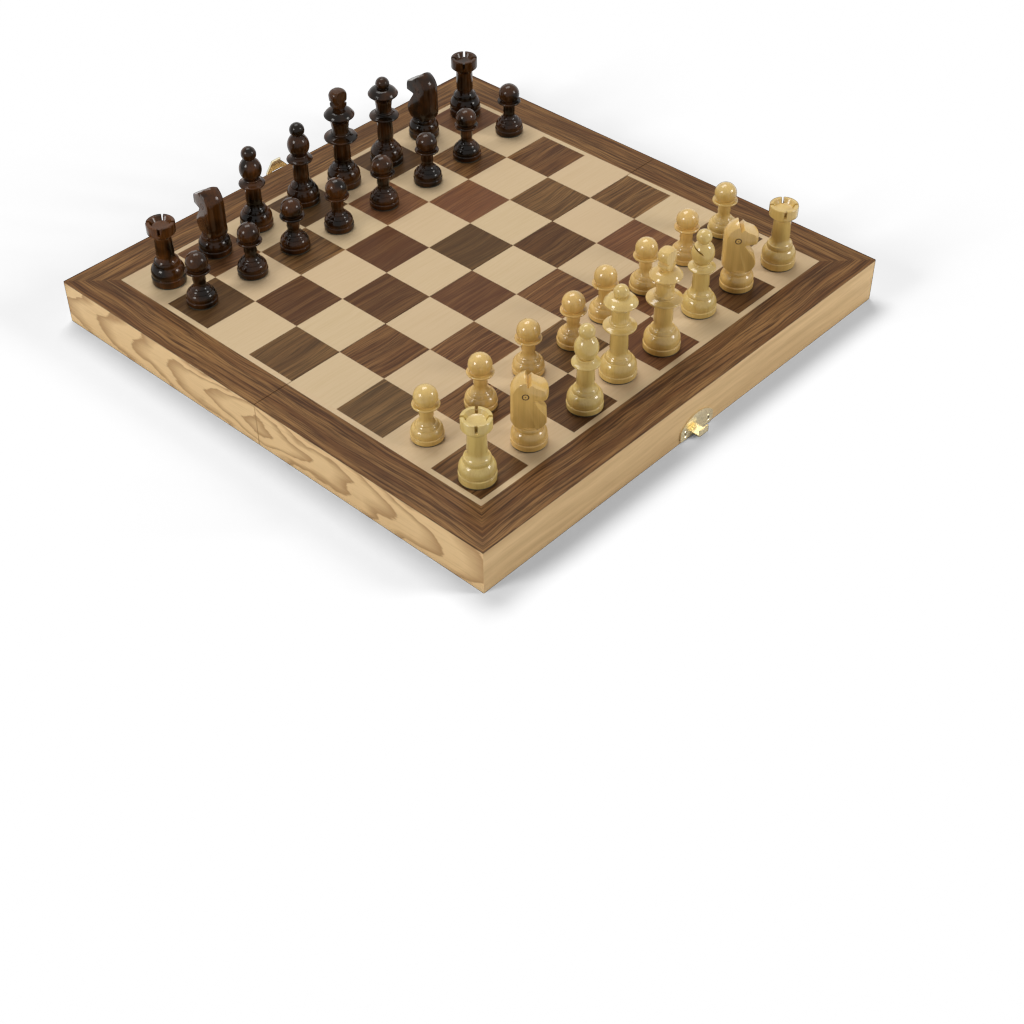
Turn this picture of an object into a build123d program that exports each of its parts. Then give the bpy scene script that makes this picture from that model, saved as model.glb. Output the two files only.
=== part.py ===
"""Folding chess box with its thirty-two turned pieces, laid open and set up for play.

Millimetres. X runs along the fold, the near half lies on -Y and the far half on +Y. Z is up,
and the origin is the middle of the fold on the surface that the rims stand on.
"""

import os
from math import cos, hypot, pi, sin, sqrt

from build123d import *

# Board, square when it lies open
BOARD_LENGTH = 300.0
HALF_HEIGHT = 25.0
FOLD_GAP = 0.4
RIM_GAP = 0.2
WALL = 9.0
PANEL = 3.0
PANEL_REBATE = 3.0
VENEER = 0.8
BORDER = 21.0
STRINGING = 3.0
SQUARE_COUNT = 8
STEEL = 0.5
STEEL_MARGIN = 2.0
LINING = 1.0
LINING_MARGIN = 0.5

# Butt hinges at the fold
HINGE_SPACING = 150.0
HINGE_LENGTH = 32.0
HINGE_LEAF = 0.6
HINGE_LEAF_HEIGHT = 12.0
HINGE_BARREL_RADIUS = 1.1
HINGE_PIN_RADIUS = 0.55
HINGE_MIDDLE_KNUCKLE = 12.0
HINGE_SCREW_SPACING = 20.0
HINGE_SCREW_HEIGHT = 7.0
RUNNING_CLEARANCE = 0.05
KNUCKLE_GAP = 0.3
NOTCH_CLEARANCE = 0.4

# Clasp at the outer edge
CLASP_WIDTH = 25.0
CLASP_EAR_HEIGHT = 6.0
CLASP_HEIGHT = 12.0
CLASP_PLATE = 0.8
CLASP_LIFT = 0.8
CLASP_CORNER = 1.6
CLASP_SCREW_SPACING = 18.0
CLASP_SCREW_HEIGHT = 3.6
HOOK_WIDTH = 6.4
HOOK_REACH = 5.3
HOOK_LIFT = 1.5
HOOK_LIP_TOP = 5.5
HASP_PIVOT_HEIGHT = 8.0
HASP_PIVOT_REACH = 2.5
HASP_BARREL_RADIUS = 1.5
HASP_PIN_RADIUS = 0.8
HASP_KNUCKLE = 7.4
HASP_SIDE_KNUCKLE = 3.0
HASP_LENGTH = 19.7
HASP_SHOULDER_WIDTH = 14.6
HASP_TIP_WIDTH = 6.0
HASP_WINDOW_WIDTH = 8.0
HASP_WINDOW_START = 9.0
HASP_WINDOW_END = 15.0
HASP_LIP = 1.6
HASP_LIP_ANGLE = 35.0
HASP_REST_LEAN = 5.0

# Screws
SCREW_HEAD_RADIUS = 1.9
SCREW_HEAD_DEPTH = 1.1
SCREW_SHANK_RADIUS = 0.9
SCREW_LENGTH = 7.0
SCREW_CLEARANCE = 0.05

# Chess pieces, shared by all kinds
FELT = 0.6
FELT_INSET = 0.4
MAGNET_RADIUS = 4.0
MAGNET_THICKNESS = 2.0
EDGE = 0.3
GROOVE = 0.5
STEP = 0.4
RIM = 1.2
FLARE = 1.9
WAIST_FOOT = 3.4
WAIST_TAPER = 0.4

# How far an arc stands off its chord, as a share of the chord
BULGE = 0.15
SHOULDER_BOW = 0.08
WAIST_BOW = -0.14
FLARE_BOW = -0.12
RIM_BOW = 0.3
CUP_BOW = -0.06
BALL_VIA = pi / 8

# Pawn: heights are above the board, the others are radii
PAWN_HEIGHT = 30.0
PAWN_BASE = 8.1
PAWN_DISC_HEIGHT = 3.4
PAWN_SHOULDER = 6.4
PAWN_SHOULDER_HEIGHT = 7.5
PAWN_RING = 4.7
PAWN_RING_HEIGHT = 9.4
PAWN_WAIST = 3.1
PAWN_COLLAR = 6.35
PAWN_BALL = 5.85
PAWN_NECK = 4.6

# Rook
ROOK_HEIGHT = 36.0
ROOK_BASE = 9.0
ROOK_DISC_HEIGHT = 4.6
ROOK_SHOULDER = 7.0
ROOK_SHOULDER_HEIGHT = 10.9
ROOK_RING = 6.3
ROOK_RING_HEIGHT = 13.5
ROOK_WAIST = 4.5
ROOK_CUP = 6.6
ROOK_CUP_RISE = 3.2
ROOK_RIM = 7.35
ROOK_RIM_HEIGHT = 5.9
ROOK_HOLLOW = 5.6
ROOK_HOLLOW_FLOOR = 4.4
ROOK_HOLLOW_DEPTH = 2.2
ROOK_NOTCH = 1.4
ROOK_NOTCH_DEPTH = 4.4

# Bishop
BISHOP_HEIGHT = 47.8
BISHOP_BASE = 9.0
BISHOP_DISC_HEIGHT = 3.6
BISHOP_SHOULDER = 6.9
BISHOP_SHOULDER_HEIGHT = 9.8
BISHOP_RING = 5.7
BISHOP_RING_HEIGHT = 11.8
BISHOP_WAIST = 4.1
BISHOP_COLLAR = 6.7
BISHOP_BEAD = 4.5
BISHOP_BEAD_HEIGHT = 1.1
BISHOP_NECK = 3.5
BISHOP_MITRE_HEIGHT = 11.6
BISHOP_MITRE_BOW = 0.24
BISHOP_MITRE_TOP = 2.7
BISHOP_BALL = 3.95
KERF = 0.8
KERF_SLOPE = 32.0
KERF_REACH = 4.8
KERF_DEPTH = 4.2
KERF_BELOW_TOP = 9.4

# Queen
QUEEN_HEIGHT = 52.0
QUEEN_BASE = 9.4
QUEEN_DISC_HEIGHT = 3.7
QUEEN_SHOULDER = 7.1
QUEEN_SHOULDER_HEIGHT = 10.0
QUEEN_RING = 5.8
QUEEN_RING_HEIGHT = 11.9
QUEEN_WAIST = 4.2
QUEEN_COLLAR = 7.9
QUEEN_BEAD = 5.1
QUEEN_BEAD_HEIGHT = 1.3
QUEEN_NECK = 4.4
QUEEN_NECK_HEIGHT = 10.4
QUEEN_CROWN = 7.9
QUEEN_DOME = 3.1
QUEEN_DOME_HEIGHT = 3.6
QUEEN_BALL = 3.75

# King
KING_HEIGHT = 57.5
KING_BASE = 9.4
KING_DISC_HEIGHT = 4.0
KING_SHOULDER = 7.1
KING_SHOULDER_HEIGHT = 10.6
KING_RING = 5.9
KING_RING_HEIGHT = 12.6
KING_WAIST = 4.5
KING_COLLAR = 8.8
KING_BEAD = 5.3
KING_BEAD_HEIGHT = 1.3
KING_NECK = 4.7
KING_NECK_HEIGHT = 10.3
KING_CROWN = 7.9
KING_DOME = 3.2
KING_DOME_HEIGHT = 3.2
CROSS_HEIGHT = 11.4
CROSS_RADIUS = 4.8
CROSS_FOOT = 4.3
CROSS_FOOT_HEIGHT = 2.2
CROSS_DOME = 1.6
CROSS_SLAB = 6.0
CROSS_NOTCH_DEPTH = 2.9
CROSS_NOTCH_HEIGHT = 3.6
CROSS_NOTCH_MIDDLE = 4.6

# Knight, its head cut from a domed round blank
KNIGHT_HEIGHT = 39.5
KNIGHT_BASE = 8.8
KNIGHT_DISC_HEIGHT = 3.8
KNIGHT_SHOULDER = 7.0
KNIGHT_SHOULDER_HEIGHT = 9.2
KNIGHT_RING = 6.2
KNIGHT_RING_HEIGHT = 11.2
KNIGHT_BLANK = 8.9
KNIGHT_BLANK_FOOT = 6.9
KNIGHT_BLANK_RISE = 7.0
KNIGHT_DOME_HEIGHT = 8.4
KNIGHT_DOME_TOP = 2.0
KNIGHT_SLAB = 10.0
KNIGHT_BACK = 8.6
KNIGHT_EAR = -1.9
KNIGHT_EAR_ROOT = -0.6
KNIGHT_FORELOCK = 1.0
KNIGHT_NOSE = 9.2
KNIGHT_NOSE_BELOW_TOP = 4.6
KNIGHT_MOUTH_BELOW_TOP = 10.6
KNIGHT_MOUTH = 2.5
KNIGHT_MOUTH_HEIGHT = 1.4
KNIGHT_CHEST = 8.0
KNIGHT_CHEST_BELOW_TOP = 21.5
LIGHT_NOSE_TURN = -47.0
DARK_NOSE_TURN = 133.0
NOTCH_TURN = -47.0
KERF_TURN = {"light_bishop_c": 30.0, "light_bishop_f": 140.0, "dark_bishop_c": 60.0, "dark_bishop_d": 20.0}

# Derived sizes
SQUARE = (BOARD_LENGTH - 2 * (BORDER + STRINGING)) / SQUARE_COUNT
BOARD_TOP = HALF_HEIGHT
PANEL_TOP = HALF_HEIGHT - VENEER
PANEL_BOTTOM = PANEL_TOP - PANEL
STEEL_BOTTOM = PANEL_BOTTOM - STEEL
INNER_FACE = FOLD_GAP / 2
AXIS_HEIGHT = -RIM_GAP / 2
HALF_LENGTH = BOARD_LENGTH / 2
HALF_WIDTH = BOARD_LENGTH / 2

# How far each piece stands from the middle of its square, as it was set down by hand
SET_DOWN = {
    "a1": (-6, -4.5), "b1": (-3, -4.5), "c1": (2.5, -6.5), "d1": (0.5, -2),
    "e1": (0, -4), "f1": (5, 1.5), "g1": (3.5, 0.5), "h1": (2.5, -3.5),
    "a2": (-1, 1), "b2": (1.5, -1), "c2": (4.5, 0), "d2": (4.5, -1),
    "e2": (0.5, 2), "f2": (1.5, 2.5), "g2": (4.5, 3.5), "h2": (6.5, 4.5),
    "a7": (-2.5, 4), "b7": (0.5, 4.5), "c7": (-0.5, 5.5), "d7": (-3, 2.5),
    "e7": (-2, 1), "f7": (-0.5, 0), "g7": (1.5, 2), "h7": (6.5, 3),
    "a8": (-2, -0.5), "b8": (0.5, 3), "c8": (0, 5.5), "d8": (2, 5),
    "e8": (-2, 1.5), "f8": (-1, 1), "g8": (2.5, 6), "h8": (4.5, 5),
}

parts = {}


def block(x0, x1, y0, y1, z0, z1):
    """A box between two opposite corners."""
    centre = ((x0 + x1) / 2, (y0 + y1) / 2, (z0 + z1) / 2)
    return Pos(*centre) * Box(x1 - x0, y1 - y0, z1 - z0)


def prism(points, z0, z1):
    """A flat outline in plan, extruded from one height to another."""
    outline = make_face(Polyline(*points, close=True))
    return Pos(0, 0, z0) * extrude(outline, z1 - z0)


def far(shape):
    """The same piece on the far half: half a turn about the vertical axis through the fold."""
    return Rot(0, 0, 180) * shape


def rod(radius, x0, x1, y, z):
    """A cylinder along X."""
    return Pos((x0 + x1) / 2, y, z) * Rot(0, 90, 0) * Cylinder(radius, x1 - x0)


def group(solids):
    """Separate solids kept as one node."""
    return Compound(children=list(solids))


# Hinge places, shared by leaves, pins, notches and screws
HINGE_X = (-HINGE_SPACING / 2, HINGE_SPACING / 2)
HINGE_SCREW_X = [x + side * HINGE_SCREW_SPACING / 2 for x in HINGE_X for side in (-1, 1)]
CLASP_SCREW_X = (-CLASP_SCREW_SPACING / 2, CLASP_SCREW_SPACING / 2)
CLASP_SCREW_Z = CLASP_LIFT + CLASP_SCREW_HEIGHT


def screw(clearance=0.0):
    """A countersunk wood screw, its head's face at z = 0 and its point down -Z."""
    neck = SCREW_SHANK_RADIUS + clearance
    head = SCREW_HEAD_RADIUS + clearance
    tip = -SCREW_LENGTH - clearance
    shoulder = tip + SCREW_SHANK_RADIUS
    points = [(0, 0), (head, 0), (neck, -SCREW_HEAD_DEPTH), (neck, shoulder), (0, tip)]
    return revolve(make_face(Plane.XZ * Polyline(*points, close=True)), Axis.Z)


def hinge_screws(clearance=0.0):
    """Screws of both hinge leaves on the near half, heads at the fold."""
    turn = Rot(-90, 0, 0)
    return [Pos(x, -INNER_FACE, HINGE_SCREW_HEIGHT) * turn * screw(clearance) for x in HINGE_SCREW_X]


def clasp_screws(clearance=0.0):
    """Screws of a clasp plate on the near half's outer wall."""
    face = -HALF_WIDTH - CLASP_PLATE
    return [Pos(x, face, CLASP_SCREW_Z) * Rot(90, 0, 0) * screw(clearance) for x in CLASP_SCREW_X]


def walls():
    """The mitred case walls of the near half: outer wall, fold wall and two end walls."""
    x, y0, y1 = HALF_LENGTH, -HALF_WIDTH, -INNER_FACE
    inner_x, inner_y0, inner_y1 = x - WALL, y0 + WALL, y1 - WALL
    outer = prism([(-x, y0), (x, y0), (inner_x, inner_y0), (-inner_x, inner_y0)], 0, PANEL_TOP)
    fold = prism([(-x, y1), (-inner_x, inner_y1), (inner_x, inner_y1), (x, y1)], 0, PANEL_TOP)
    ends = [
        prism([(s * x, y0), (s * x, y1), (s * inner_x, inner_y1), (s * inner_x, inner_y0)], 0, PANEL_TOP)
        for s in (-1, 1)
    ]
    rebate = panel()
    for hole in clasp_screws(SCREW_CLEARANCE):
        outer -= hole
    for hole in hinge_screws(SCREW_CLEARANCE):
        fold -= hole
    for centre in HINGE_X:
        half = HINGE_LENGTH / 2 + SCREW_CLEARANCE
        top = HINGE_LEAF_HEIGHT + SCREW_CLEARANCE
        fold -= block(centre - half, centre + half, y1 - HINGE_LEAF, y1, 0, top)
        half = HINGE_LENGTH / 2 + NOTCH_CLEARANCE
        radius = HINGE_BARREL_RADIUS + NOTCH_CLEARANCE
        fold -= rod(radius, centre - half, centre + half, 0, AXIS_HEIGHT)
    return outer - rebate, fold - rebate, [end - rebate for end in ends]


def panel():
    """The plywood board that closes the case, let into a rebate all round."""
    edge = WALL - PANEL_REBATE
    x, y0, y1 = HALF_LENGTH - edge, -HALF_WIDTH + edge, -INNER_FACE - edge
    return block(-x, x, y0, y1, PANEL_BOTTOM, PANEL_TOP)


def inside(margin, z0, z1):
    """A sheet that fits inside the walls with a margin all round."""
    gap = WALL + margin
    x = HALF_LENGTH - gap
    return block(-x, x, -HALF_WIDTH + gap, -INNER_FACE - gap, z0, z1)


def mitred_frame(offset, width):
    """Three veneer strips round the near half, open at the fold: left, front and right."""
    x0, x1 = HALF_LENGTH - offset, HALF_LENGTH - offset - width
    y0, y1 = -HALF_WIDTH + offset, -HALF_WIDTH + offset + width
    fold = -INNER_FACE
    sides = [[(s * x0, y0), (s * x1, y1), (s * x1, fold), (s * x0, fold)] for s in (-1, 1)]
    front = [(-x0, y0), (x0, y0), (x1, y1), (-x1, y1)]
    return [prism(outline, PANEL_TOP, BOARD_TOP) for outline in (sides[0], front, sides[1])]


def square(column, row):
    """One veneer square of the near half; row 0 is the first rank, column 0 the a-file."""
    x0 = (column - SQUARE_COUNT / 2) * SQUARE
    y0 = (row - SQUARE_COUNT / 2) * SQUARE
    y1 = min(y0 + SQUARE, -INNER_FACE)
    return block(x0, x0 + SQUARE, y0, y1, PANEL_TOP, BOARD_TOP)


def squares(dark):
    """Half of the field's squares on the near half, with a dark square at the a1 corner."""
    rows = range(SQUARE_COUNT // 2)
    wanted = 0 if dark else 1
    return [square(c, r) for r in rows for c in range(SQUARE_COUNT) if (c + r) % 2 == wanted]


def hinge_leaf(centre, knuckles):
    """A near-half hinge leaf with its knuckles, which are given as spans along X from the centre."""
    half = HINGE_LENGTH / 2
    face = -INNER_FACE
    leaf = block(centre - half, centre + half, face - HINGE_LEAF, face, AXIS_HEIGHT, HINGE_LEAF_HEIGHT)
    clear = HINGE_BARREL_RADIUS + KNUCKLE_GAP
    leaf -= rod(clear, centre - half, centre + half, 0, AXIS_HEIGHT)
    for start, end in knuckles:
        foot = block(centre + start, centre + end, face - HINGE_LEAF, face, AXIS_HEIGHT, clear)
        leaf += foot + rod(HINGE_BARREL_RADIUS, centre + start, centre + end, 0, AXIS_HEIGHT)
    bore = HINGE_PIN_RADIUS + RUNNING_CLEARANCE
    leaf -= rod(bore, centre - half - 1, centre + half + 1, 0, AXIS_HEIGHT)
    for hole in hinge_screws(SCREW_CLEARANCE):
        leaf -= hole
    return leaf


def clasp_plate():
    """The near half's clasp plate: an arched plate with two ears, lying on the outer wall."""
    half = CLASP_WIDTH / 2
    low, ear, top = CLASP_LIFT, CLASP_LIFT + CLASP_EAR_HEIGHT, CLASP_LIFT + CLASP_HEIGHT
    outline = Line((-half, low), (half, low)) + Line((half, low), (half, ear))
    outline += ThreePointArc((half, ear), (0, top), (-half, ear)) + Line((-half, ear), (-half, low))
    plate = extrude(Plane.XZ * make_face(outline), CLASP_PLATE)
    plate = fillet(plate.edges().filter_by(Axis.Y), CLASP_CORNER)
    plate = Pos(0, -HALF_WIDTH, 0) * plate
    for hole in clasp_screws(SCREW_CLEARANCE):
        plate -= hole
    return plate


def hook_plate():
    """The clasp plate of the near half with its tongue bent out and up."""
    outer = -HALF_WIDTH - HOOK_REACH
    half = HOOK_WIDTH / 2
    bottom, lip = HOOK_LIFT, HOOK_LIP_TOP
    tongue = block(-half, half, outer, -HALF_WIDTH, bottom, bottom + CLASP_PLATE)
    tongue += block(-half, half, outer, outer + CLASP_PLATE, bottom, lip)
    bend = tongue.edges().filter_by(Axis.X).sort_by(Axis.Z)[:2].sort_by(Axis.Y)[0]
    tongue = fillet(bend, CLASP_PLATE / 2)
    return clasp_plate() + tongue


def hasp_knuckle_spans():
    """Spans along X of the plate's two side knuckles."""
    start = HASP_KNUCKLE / 2 + KNUCKLE_GAP
    return [(-start - HASP_SIDE_KNUCKLE, -start), (start, start + HASP_SIDE_KNUCKLE)]


PIVOT_Y = -HALF_WIDTH - HASP_PIVOT_REACH


def hasp_plate():
    """The clasp plate that carries the hasp, with two knuckles standing off it."""
    plate = clasp_plate()
    foot = HASP_PIN_RADIUS + CLASP_PLATE / 2
    z = HASP_PIVOT_HEIGHT
    for x0, x1 in hasp_knuckle_spans():
        plate += block(x0, x1, PIVOT_Y, -HALF_WIDTH, z - foot, z + foot)
        plate += rod(HASP_BARREL_RADIUS, x0, x1, PIVOT_Y, z)
        plate -= rod(HASP_PIN_RADIUS + RUNNING_CLEARANCE, x0 - 1, x1 + 1, PIVOT_Y, z)
    return plate


def hasp():
    """The swinging hasp, standing up past the board's edge and leaning out a little."""
    half, shoulder, tip = HASP_KNUCKLE / 2, HASP_SHOULDER_WIDTH / 2, HASP_TIP_WIDTH / 2
    neck = HASP_WINDOW_START - (shoulder - half)
    side = [(half, 0), (half, neck)]
    side += [(shoulder, HASP_WINDOW_START), (shoulder, HASP_WINDOW_END), (tip, HASP_LENGTH)]
    other = [(-x, z) for x, z in reversed(side)]
    outline = make_face(Polyline(*side, *other, close=True))
    blade = Pos(0, CLASP_PLATE / 2, 0) * extrude(Plane.XZ * outline, CLASP_PLATE)
    window = HASP_WINDOW_WIDTH / 2
    blade -= block(-window, window, -CLASP_PLATE, CLASP_PLATE, HASP_WINDOW_START, HASP_WINDOW_END)
    thick = CLASP_PLATE / 2
    lip = Rot(-HASP_LIP_ANGLE, 0, 0) * block(-tip, tip, -thick, thick, 0, HASP_LIP)
    blade += Pos(0, 0, HASP_LENGTH) * lip + rod(thick, -tip, tip, 0, HASP_LENGTH)
    blade += rod(HASP_BARREL_RADIUS, -half, half, 0, 0)
    blade -= rod(HASP_PIN_RADIUS + RUNNING_CLEARANCE, -half - 1, half + 1, 0, 0)
    return Pos(0, PIVOT_Y, HASP_PIVOT_HEIGHT) * Rot(HASP_REST_LEAN, 0, 0) * blade


class Turning:
    """The outline of a turned piece, drawn upwards from its foot and then spun about Z."""

    def __init__(self, radius, height):
        self.foot = height
        self.here = (radius, height)
        self.edges = [Line((0, height), self.here)]

    def to(self, radius, height):
        """A straight cut to a radius and a height."""
        self.edges.append(Line(self.here, (radius, height)))
        self.here = (radius, height)
        return self

    def curve(self, radius, height, bow):
        """An arc whose middle stands off its chord by bow times the chord, inwards when negative."""
        run, rise = radius - self.here[0], height - self.here[1]
        via = (self.here[0] + run / 2 + bow * rise, self.here[1] + rise / 2 - bow * run)
        self.edges.append(ThreePointArc(self.here, via, (radius, height)))
        self.here = (radius, height)
        return self

    def ball(self, radius, top):
        """The rest of a sphere centred on the axis, from here to its top."""
        middle = top - radius
        via = (radius * cos(BALL_VIA), middle + radius * sin(BALL_VIA))
        self.edges.append(ThreePointArc(self.here, via, (0, top)))
        self.here = (0, top)
        return self

    def solid(self):
        """The finished piece, closed across its top and down its axis."""
        top = self.here[1]
        if self.here[0] > 0:
            self.edges.append(Line(self.here, (0, top)))
        outline = self.edges[0]
        for edge in self.edges[1:]:
            outline += edge
        outline += Line((0, top), (0, self.foot))
        return revolve(Plane.XZ * make_face(outline), Axis.Z)


def turned_foot(base, disc_height, shoulder, shoulder_height, ring, ring_height):
    """The foot of every piece: a disc, a groove, a bulge, a shoulder line and a ring."""
    outline = Turning(base - EDGE, FELT)
    outline.to(base, FELT + EDGE).to(base, disc_height - EDGE).to(base - GROOVE, disc_height)
    outline.curve(shoulder, shoulder_height, BULGE)
    outline.to(shoulder - STEP, shoulder_height).curve(ring, ring_height, SHOULDER_BOW)
    return outline.to(ring - STEP, ring_height)


def waist(outline, radius, top):
    """A waist that hollows out above the foot and then tapers up to a collar."""
    foot_top = outline.here[1] + WAIST_FOOT
    return outline.curve(radius + WAIST_TAPER, foot_top, WAIST_BOW).to(radius, top)


def collar(outline, radius, height, inner, inner_height):
    """A flared disc with a rounded rim, whose top closes in to the next part."""
    outline.curve(radius, height - RIM / 2, FLARE_BOW).curve(radius, height + RIM / 2, RIM_BOW)
    return outline.curve(inner, inner_height, CUP_BOW)


def ball_seat(top, radius, neck):
    """The height at which a neck meets the ball above it."""
    return top - radius - sqrt(radius**2 - neck**2)


def pawn():
    """Foot, waist, cupped collar and ball."""
    outline = turned_foot(
        PAWN_BASE,
        PAWN_DISC_HEIGHT,
        PAWN_SHOULDER,
        PAWN_SHOULDER_HEIGHT,
        PAWN_RING,
        PAWN_RING_HEIGHT,
    )
    seat = ball_seat(PAWN_HEIGHT, PAWN_BALL, PAWN_NECK)
    rim = seat - RIM / 2
    waist(outline, PAWN_WAIST, rim - FLARE)
    collar(outline, PAWN_COLLAR, rim, PAWN_NECK, seat)
    return outline.ball(PAWN_BALL, PAWN_HEIGHT).solid()


def rook():
    """Foot, waist and a cup-shaped turret with a dished top and four saw cuts."""
    outline = turned_foot(
        ROOK_BASE,
        ROOK_DISC_HEIGHT,
        ROOK_SHOULDER,
        ROOK_SHOULDER_HEIGHT,
        ROOK_RING,
        ROOK_RING_HEIGHT,
    )
    rim = ROOK_HEIGHT - ROOK_RIM_HEIGHT
    cup = rim - ROOK_CUP_RISE
    waist(outline, ROOK_WAIST, cup)
    outline.curve(ROOK_CUP, rim - STEP, FLARE_BOW).to(ROOK_CUP, rim)
    outline.to(ROOK_RIM, rim + EDGE).to(ROOK_RIM, ROOK_HEIGHT - EDGE).to(ROOK_RIM - EDGE, ROOK_HEIGHT)
    outline.to(ROOK_HOLLOW, ROOK_HEIGHT).to(ROOK_HOLLOW_FLOOR, ROOK_HEIGHT - ROOK_HOLLOW_DEPTH)
    width, depth = 3 * ROOK_RIM, 2 * ROOK_NOTCH_DEPTH
    wall = Cylinder(width, depth) - Cylinder(ROOK_HOLLOW_FLOOR, depth)
    saw = Box(width, ROOK_NOTCH, depth) + Box(ROOK_NOTCH, width, depth)
    return outline.solid() - Pos(0, 0, ROOK_HEIGHT) * (saw & wall)


def bishop():
    """Foot, waist, collar, bead and an egg-shaped mitre with a slanting saw cut under its ball."""
    outline = turned_foot(
        BISHOP_BASE,
        BISHOP_DISC_HEIGHT,
        BISHOP_SHOULDER,
        BISHOP_SHOULDER_HEIGHT,
        BISHOP_RING,
        BISHOP_RING_HEIGHT,
    )
    mitre_top = ball_seat(BISHOP_HEIGHT, BISHOP_BALL, BISHOP_MITRE_TOP)
    neck = mitre_top - BISHOP_MITRE_HEIGHT
    bead = neck - BISHOP_BEAD_HEIGHT
    rim = bead - FLARE
    waist(outline, BISHOP_WAIST, rim - FLARE)
    collar(outline, BISHOP_COLLAR, rim, BISHOP_BEAD, bead)
    outline.curve(BISHOP_NECK, neck, RIM_BOW).curve(BISHOP_MITRE_TOP, mitre_top, BISHOP_MITRE_BOW)
    saw = Rot(0, -KERF_SLOPE, 0) * block(-KERF_DEPTH, KERF_DEPTH, -BISHOP_BASE, BISHOP_BASE, 0, KERF)
    body = outline.ball(BISHOP_BALL, BISHOP_HEIGHT).solid()
    return body - Pos(KERF_REACH, 0, BISHOP_HEIGHT - KERF_BELOW_TOP) * saw


def queen():
    """Foot, waist, wide collar, bead, flared crown, dome and ball."""
    outline = turned_foot(
        QUEEN_BASE,
        QUEEN_DISC_HEIGHT,
        QUEEN_SHOULDER,
        QUEEN_SHOULDER_HEIGHT,
        QUEEN_RING,
        QUEEN_RING_HEIGHT,
    )
    dome = ball_seat(QUEEN_HEIGHT, QUEEN_BALL, QUEEN_DOME)
    crown = dome - QUEEN_DOME_HEIGHT
    neck = crown - QUEEN_NECK_HEIGHT
    rim = neck - QUEEN_BEAD_HEIGHT - FLARE
    waist(outline, QUEEN_WAIST, rim - FLARE)
    collar(outline, QUEEN_COLLAR, rim, QUEEN_BEAD, neck - QUEEN_BEAD_HEIGHT)
    outline.curve(QUEEN_NECK, neck, RIM_BOW).curve(QUEEN_NECK, crown - 2 * FLARE, CUP_BOW)
    outline.curve(QUEEN_CROWN, crown - RIM / 2, FLARE_BOW).curve(QUEEN_CROWN, crown + RIM / 2, RIM_BOW)
    return outline.curve(QUEEN_DOME, dome, BULGE).ball(QUEEN_BALL, QUEEN_HEIGHT).solid()


def cross():
    """The king's finial: a turned knob sawn flat on two faces and notched on the other two."""
    knob = Turning(KING_DOME, 0)
    knob.curve(CROSS_FOOT, CROSS_FOOT_HEIGHT, FLARE_BOW).to(CROSS_RADIUS, CROSS_HEIGHT - 2 * CROSS_DOME)
    knob.curve(CROSS_RADIUS - CROSS_DOME, CROSS_HEIGHT - EDGE, BULGE).to(0, CROSS_HEIGHT)
    slab = Pos(0, 0, CROSS_HEIGHT / 2) * Box(2 * CROSS_RADIUS, CROSS_SLAB, CROSS_HEIGHT)
    body = knob.solid() & slab
    reach = CROSS_RADIUS + EDGE
    half, middle = CROSS_NOTCH_HEIGHT / 2, CROSS_NOTCH_MIDDLE
    for side in (-1, 1):
        tip = side * (CROSS_RADIUS - CROSS_NOTCH_DEPTH)
        mouth = side * reach
        notch = Polyline((tip, middle), (mouth, middle - half), (mouth, middle + half), close=True)
        body -= extrude(Plane.XZ * make_face(notch), CROSS_SLAB, both=True)
    return body


def king():
    """Foot, waist, wide collar, bead, flared crown, dome and cross."""
    outline = turned_foot(
        KING_BASE,
        KING_DISC_HEIGHT,
        KING_SHOULDER,
        KING_SHOULDER_HEIGHT,
        KING_RING,
        KING_RING_HEIGHT,
    )
    dome = KING_HEIGHT - CROSS_HEIGHT
    crown = dome - KING_DOME_HEIGHT
    neck = crown - KING_NECK_HEIGHT
    rim = neck - KING_BEAD_HEIGHT - FLARE
    waist(outline, KING_WAIST, rim - FLARE)
    collar(outline, KING_COLLAR, rim, KING_BEAD, neck - KING_BEAD_HEIGHT)
    outline.curve(KING_NECK, neck, RIM_BOW).curve(KING_NECK, crown - 2 * FLARE, CUP_BOW)
    outline.curve(KING_CROWN, crown - RIM / 2, FLARE_BOW).curve(KING_CROWN, crown + RIM / 2, RIM_BOW)
    outline.curve(KING_DOME, dome, BULGE)
    return outline.solid() + Pos(0, 0, dome) * cross()


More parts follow.
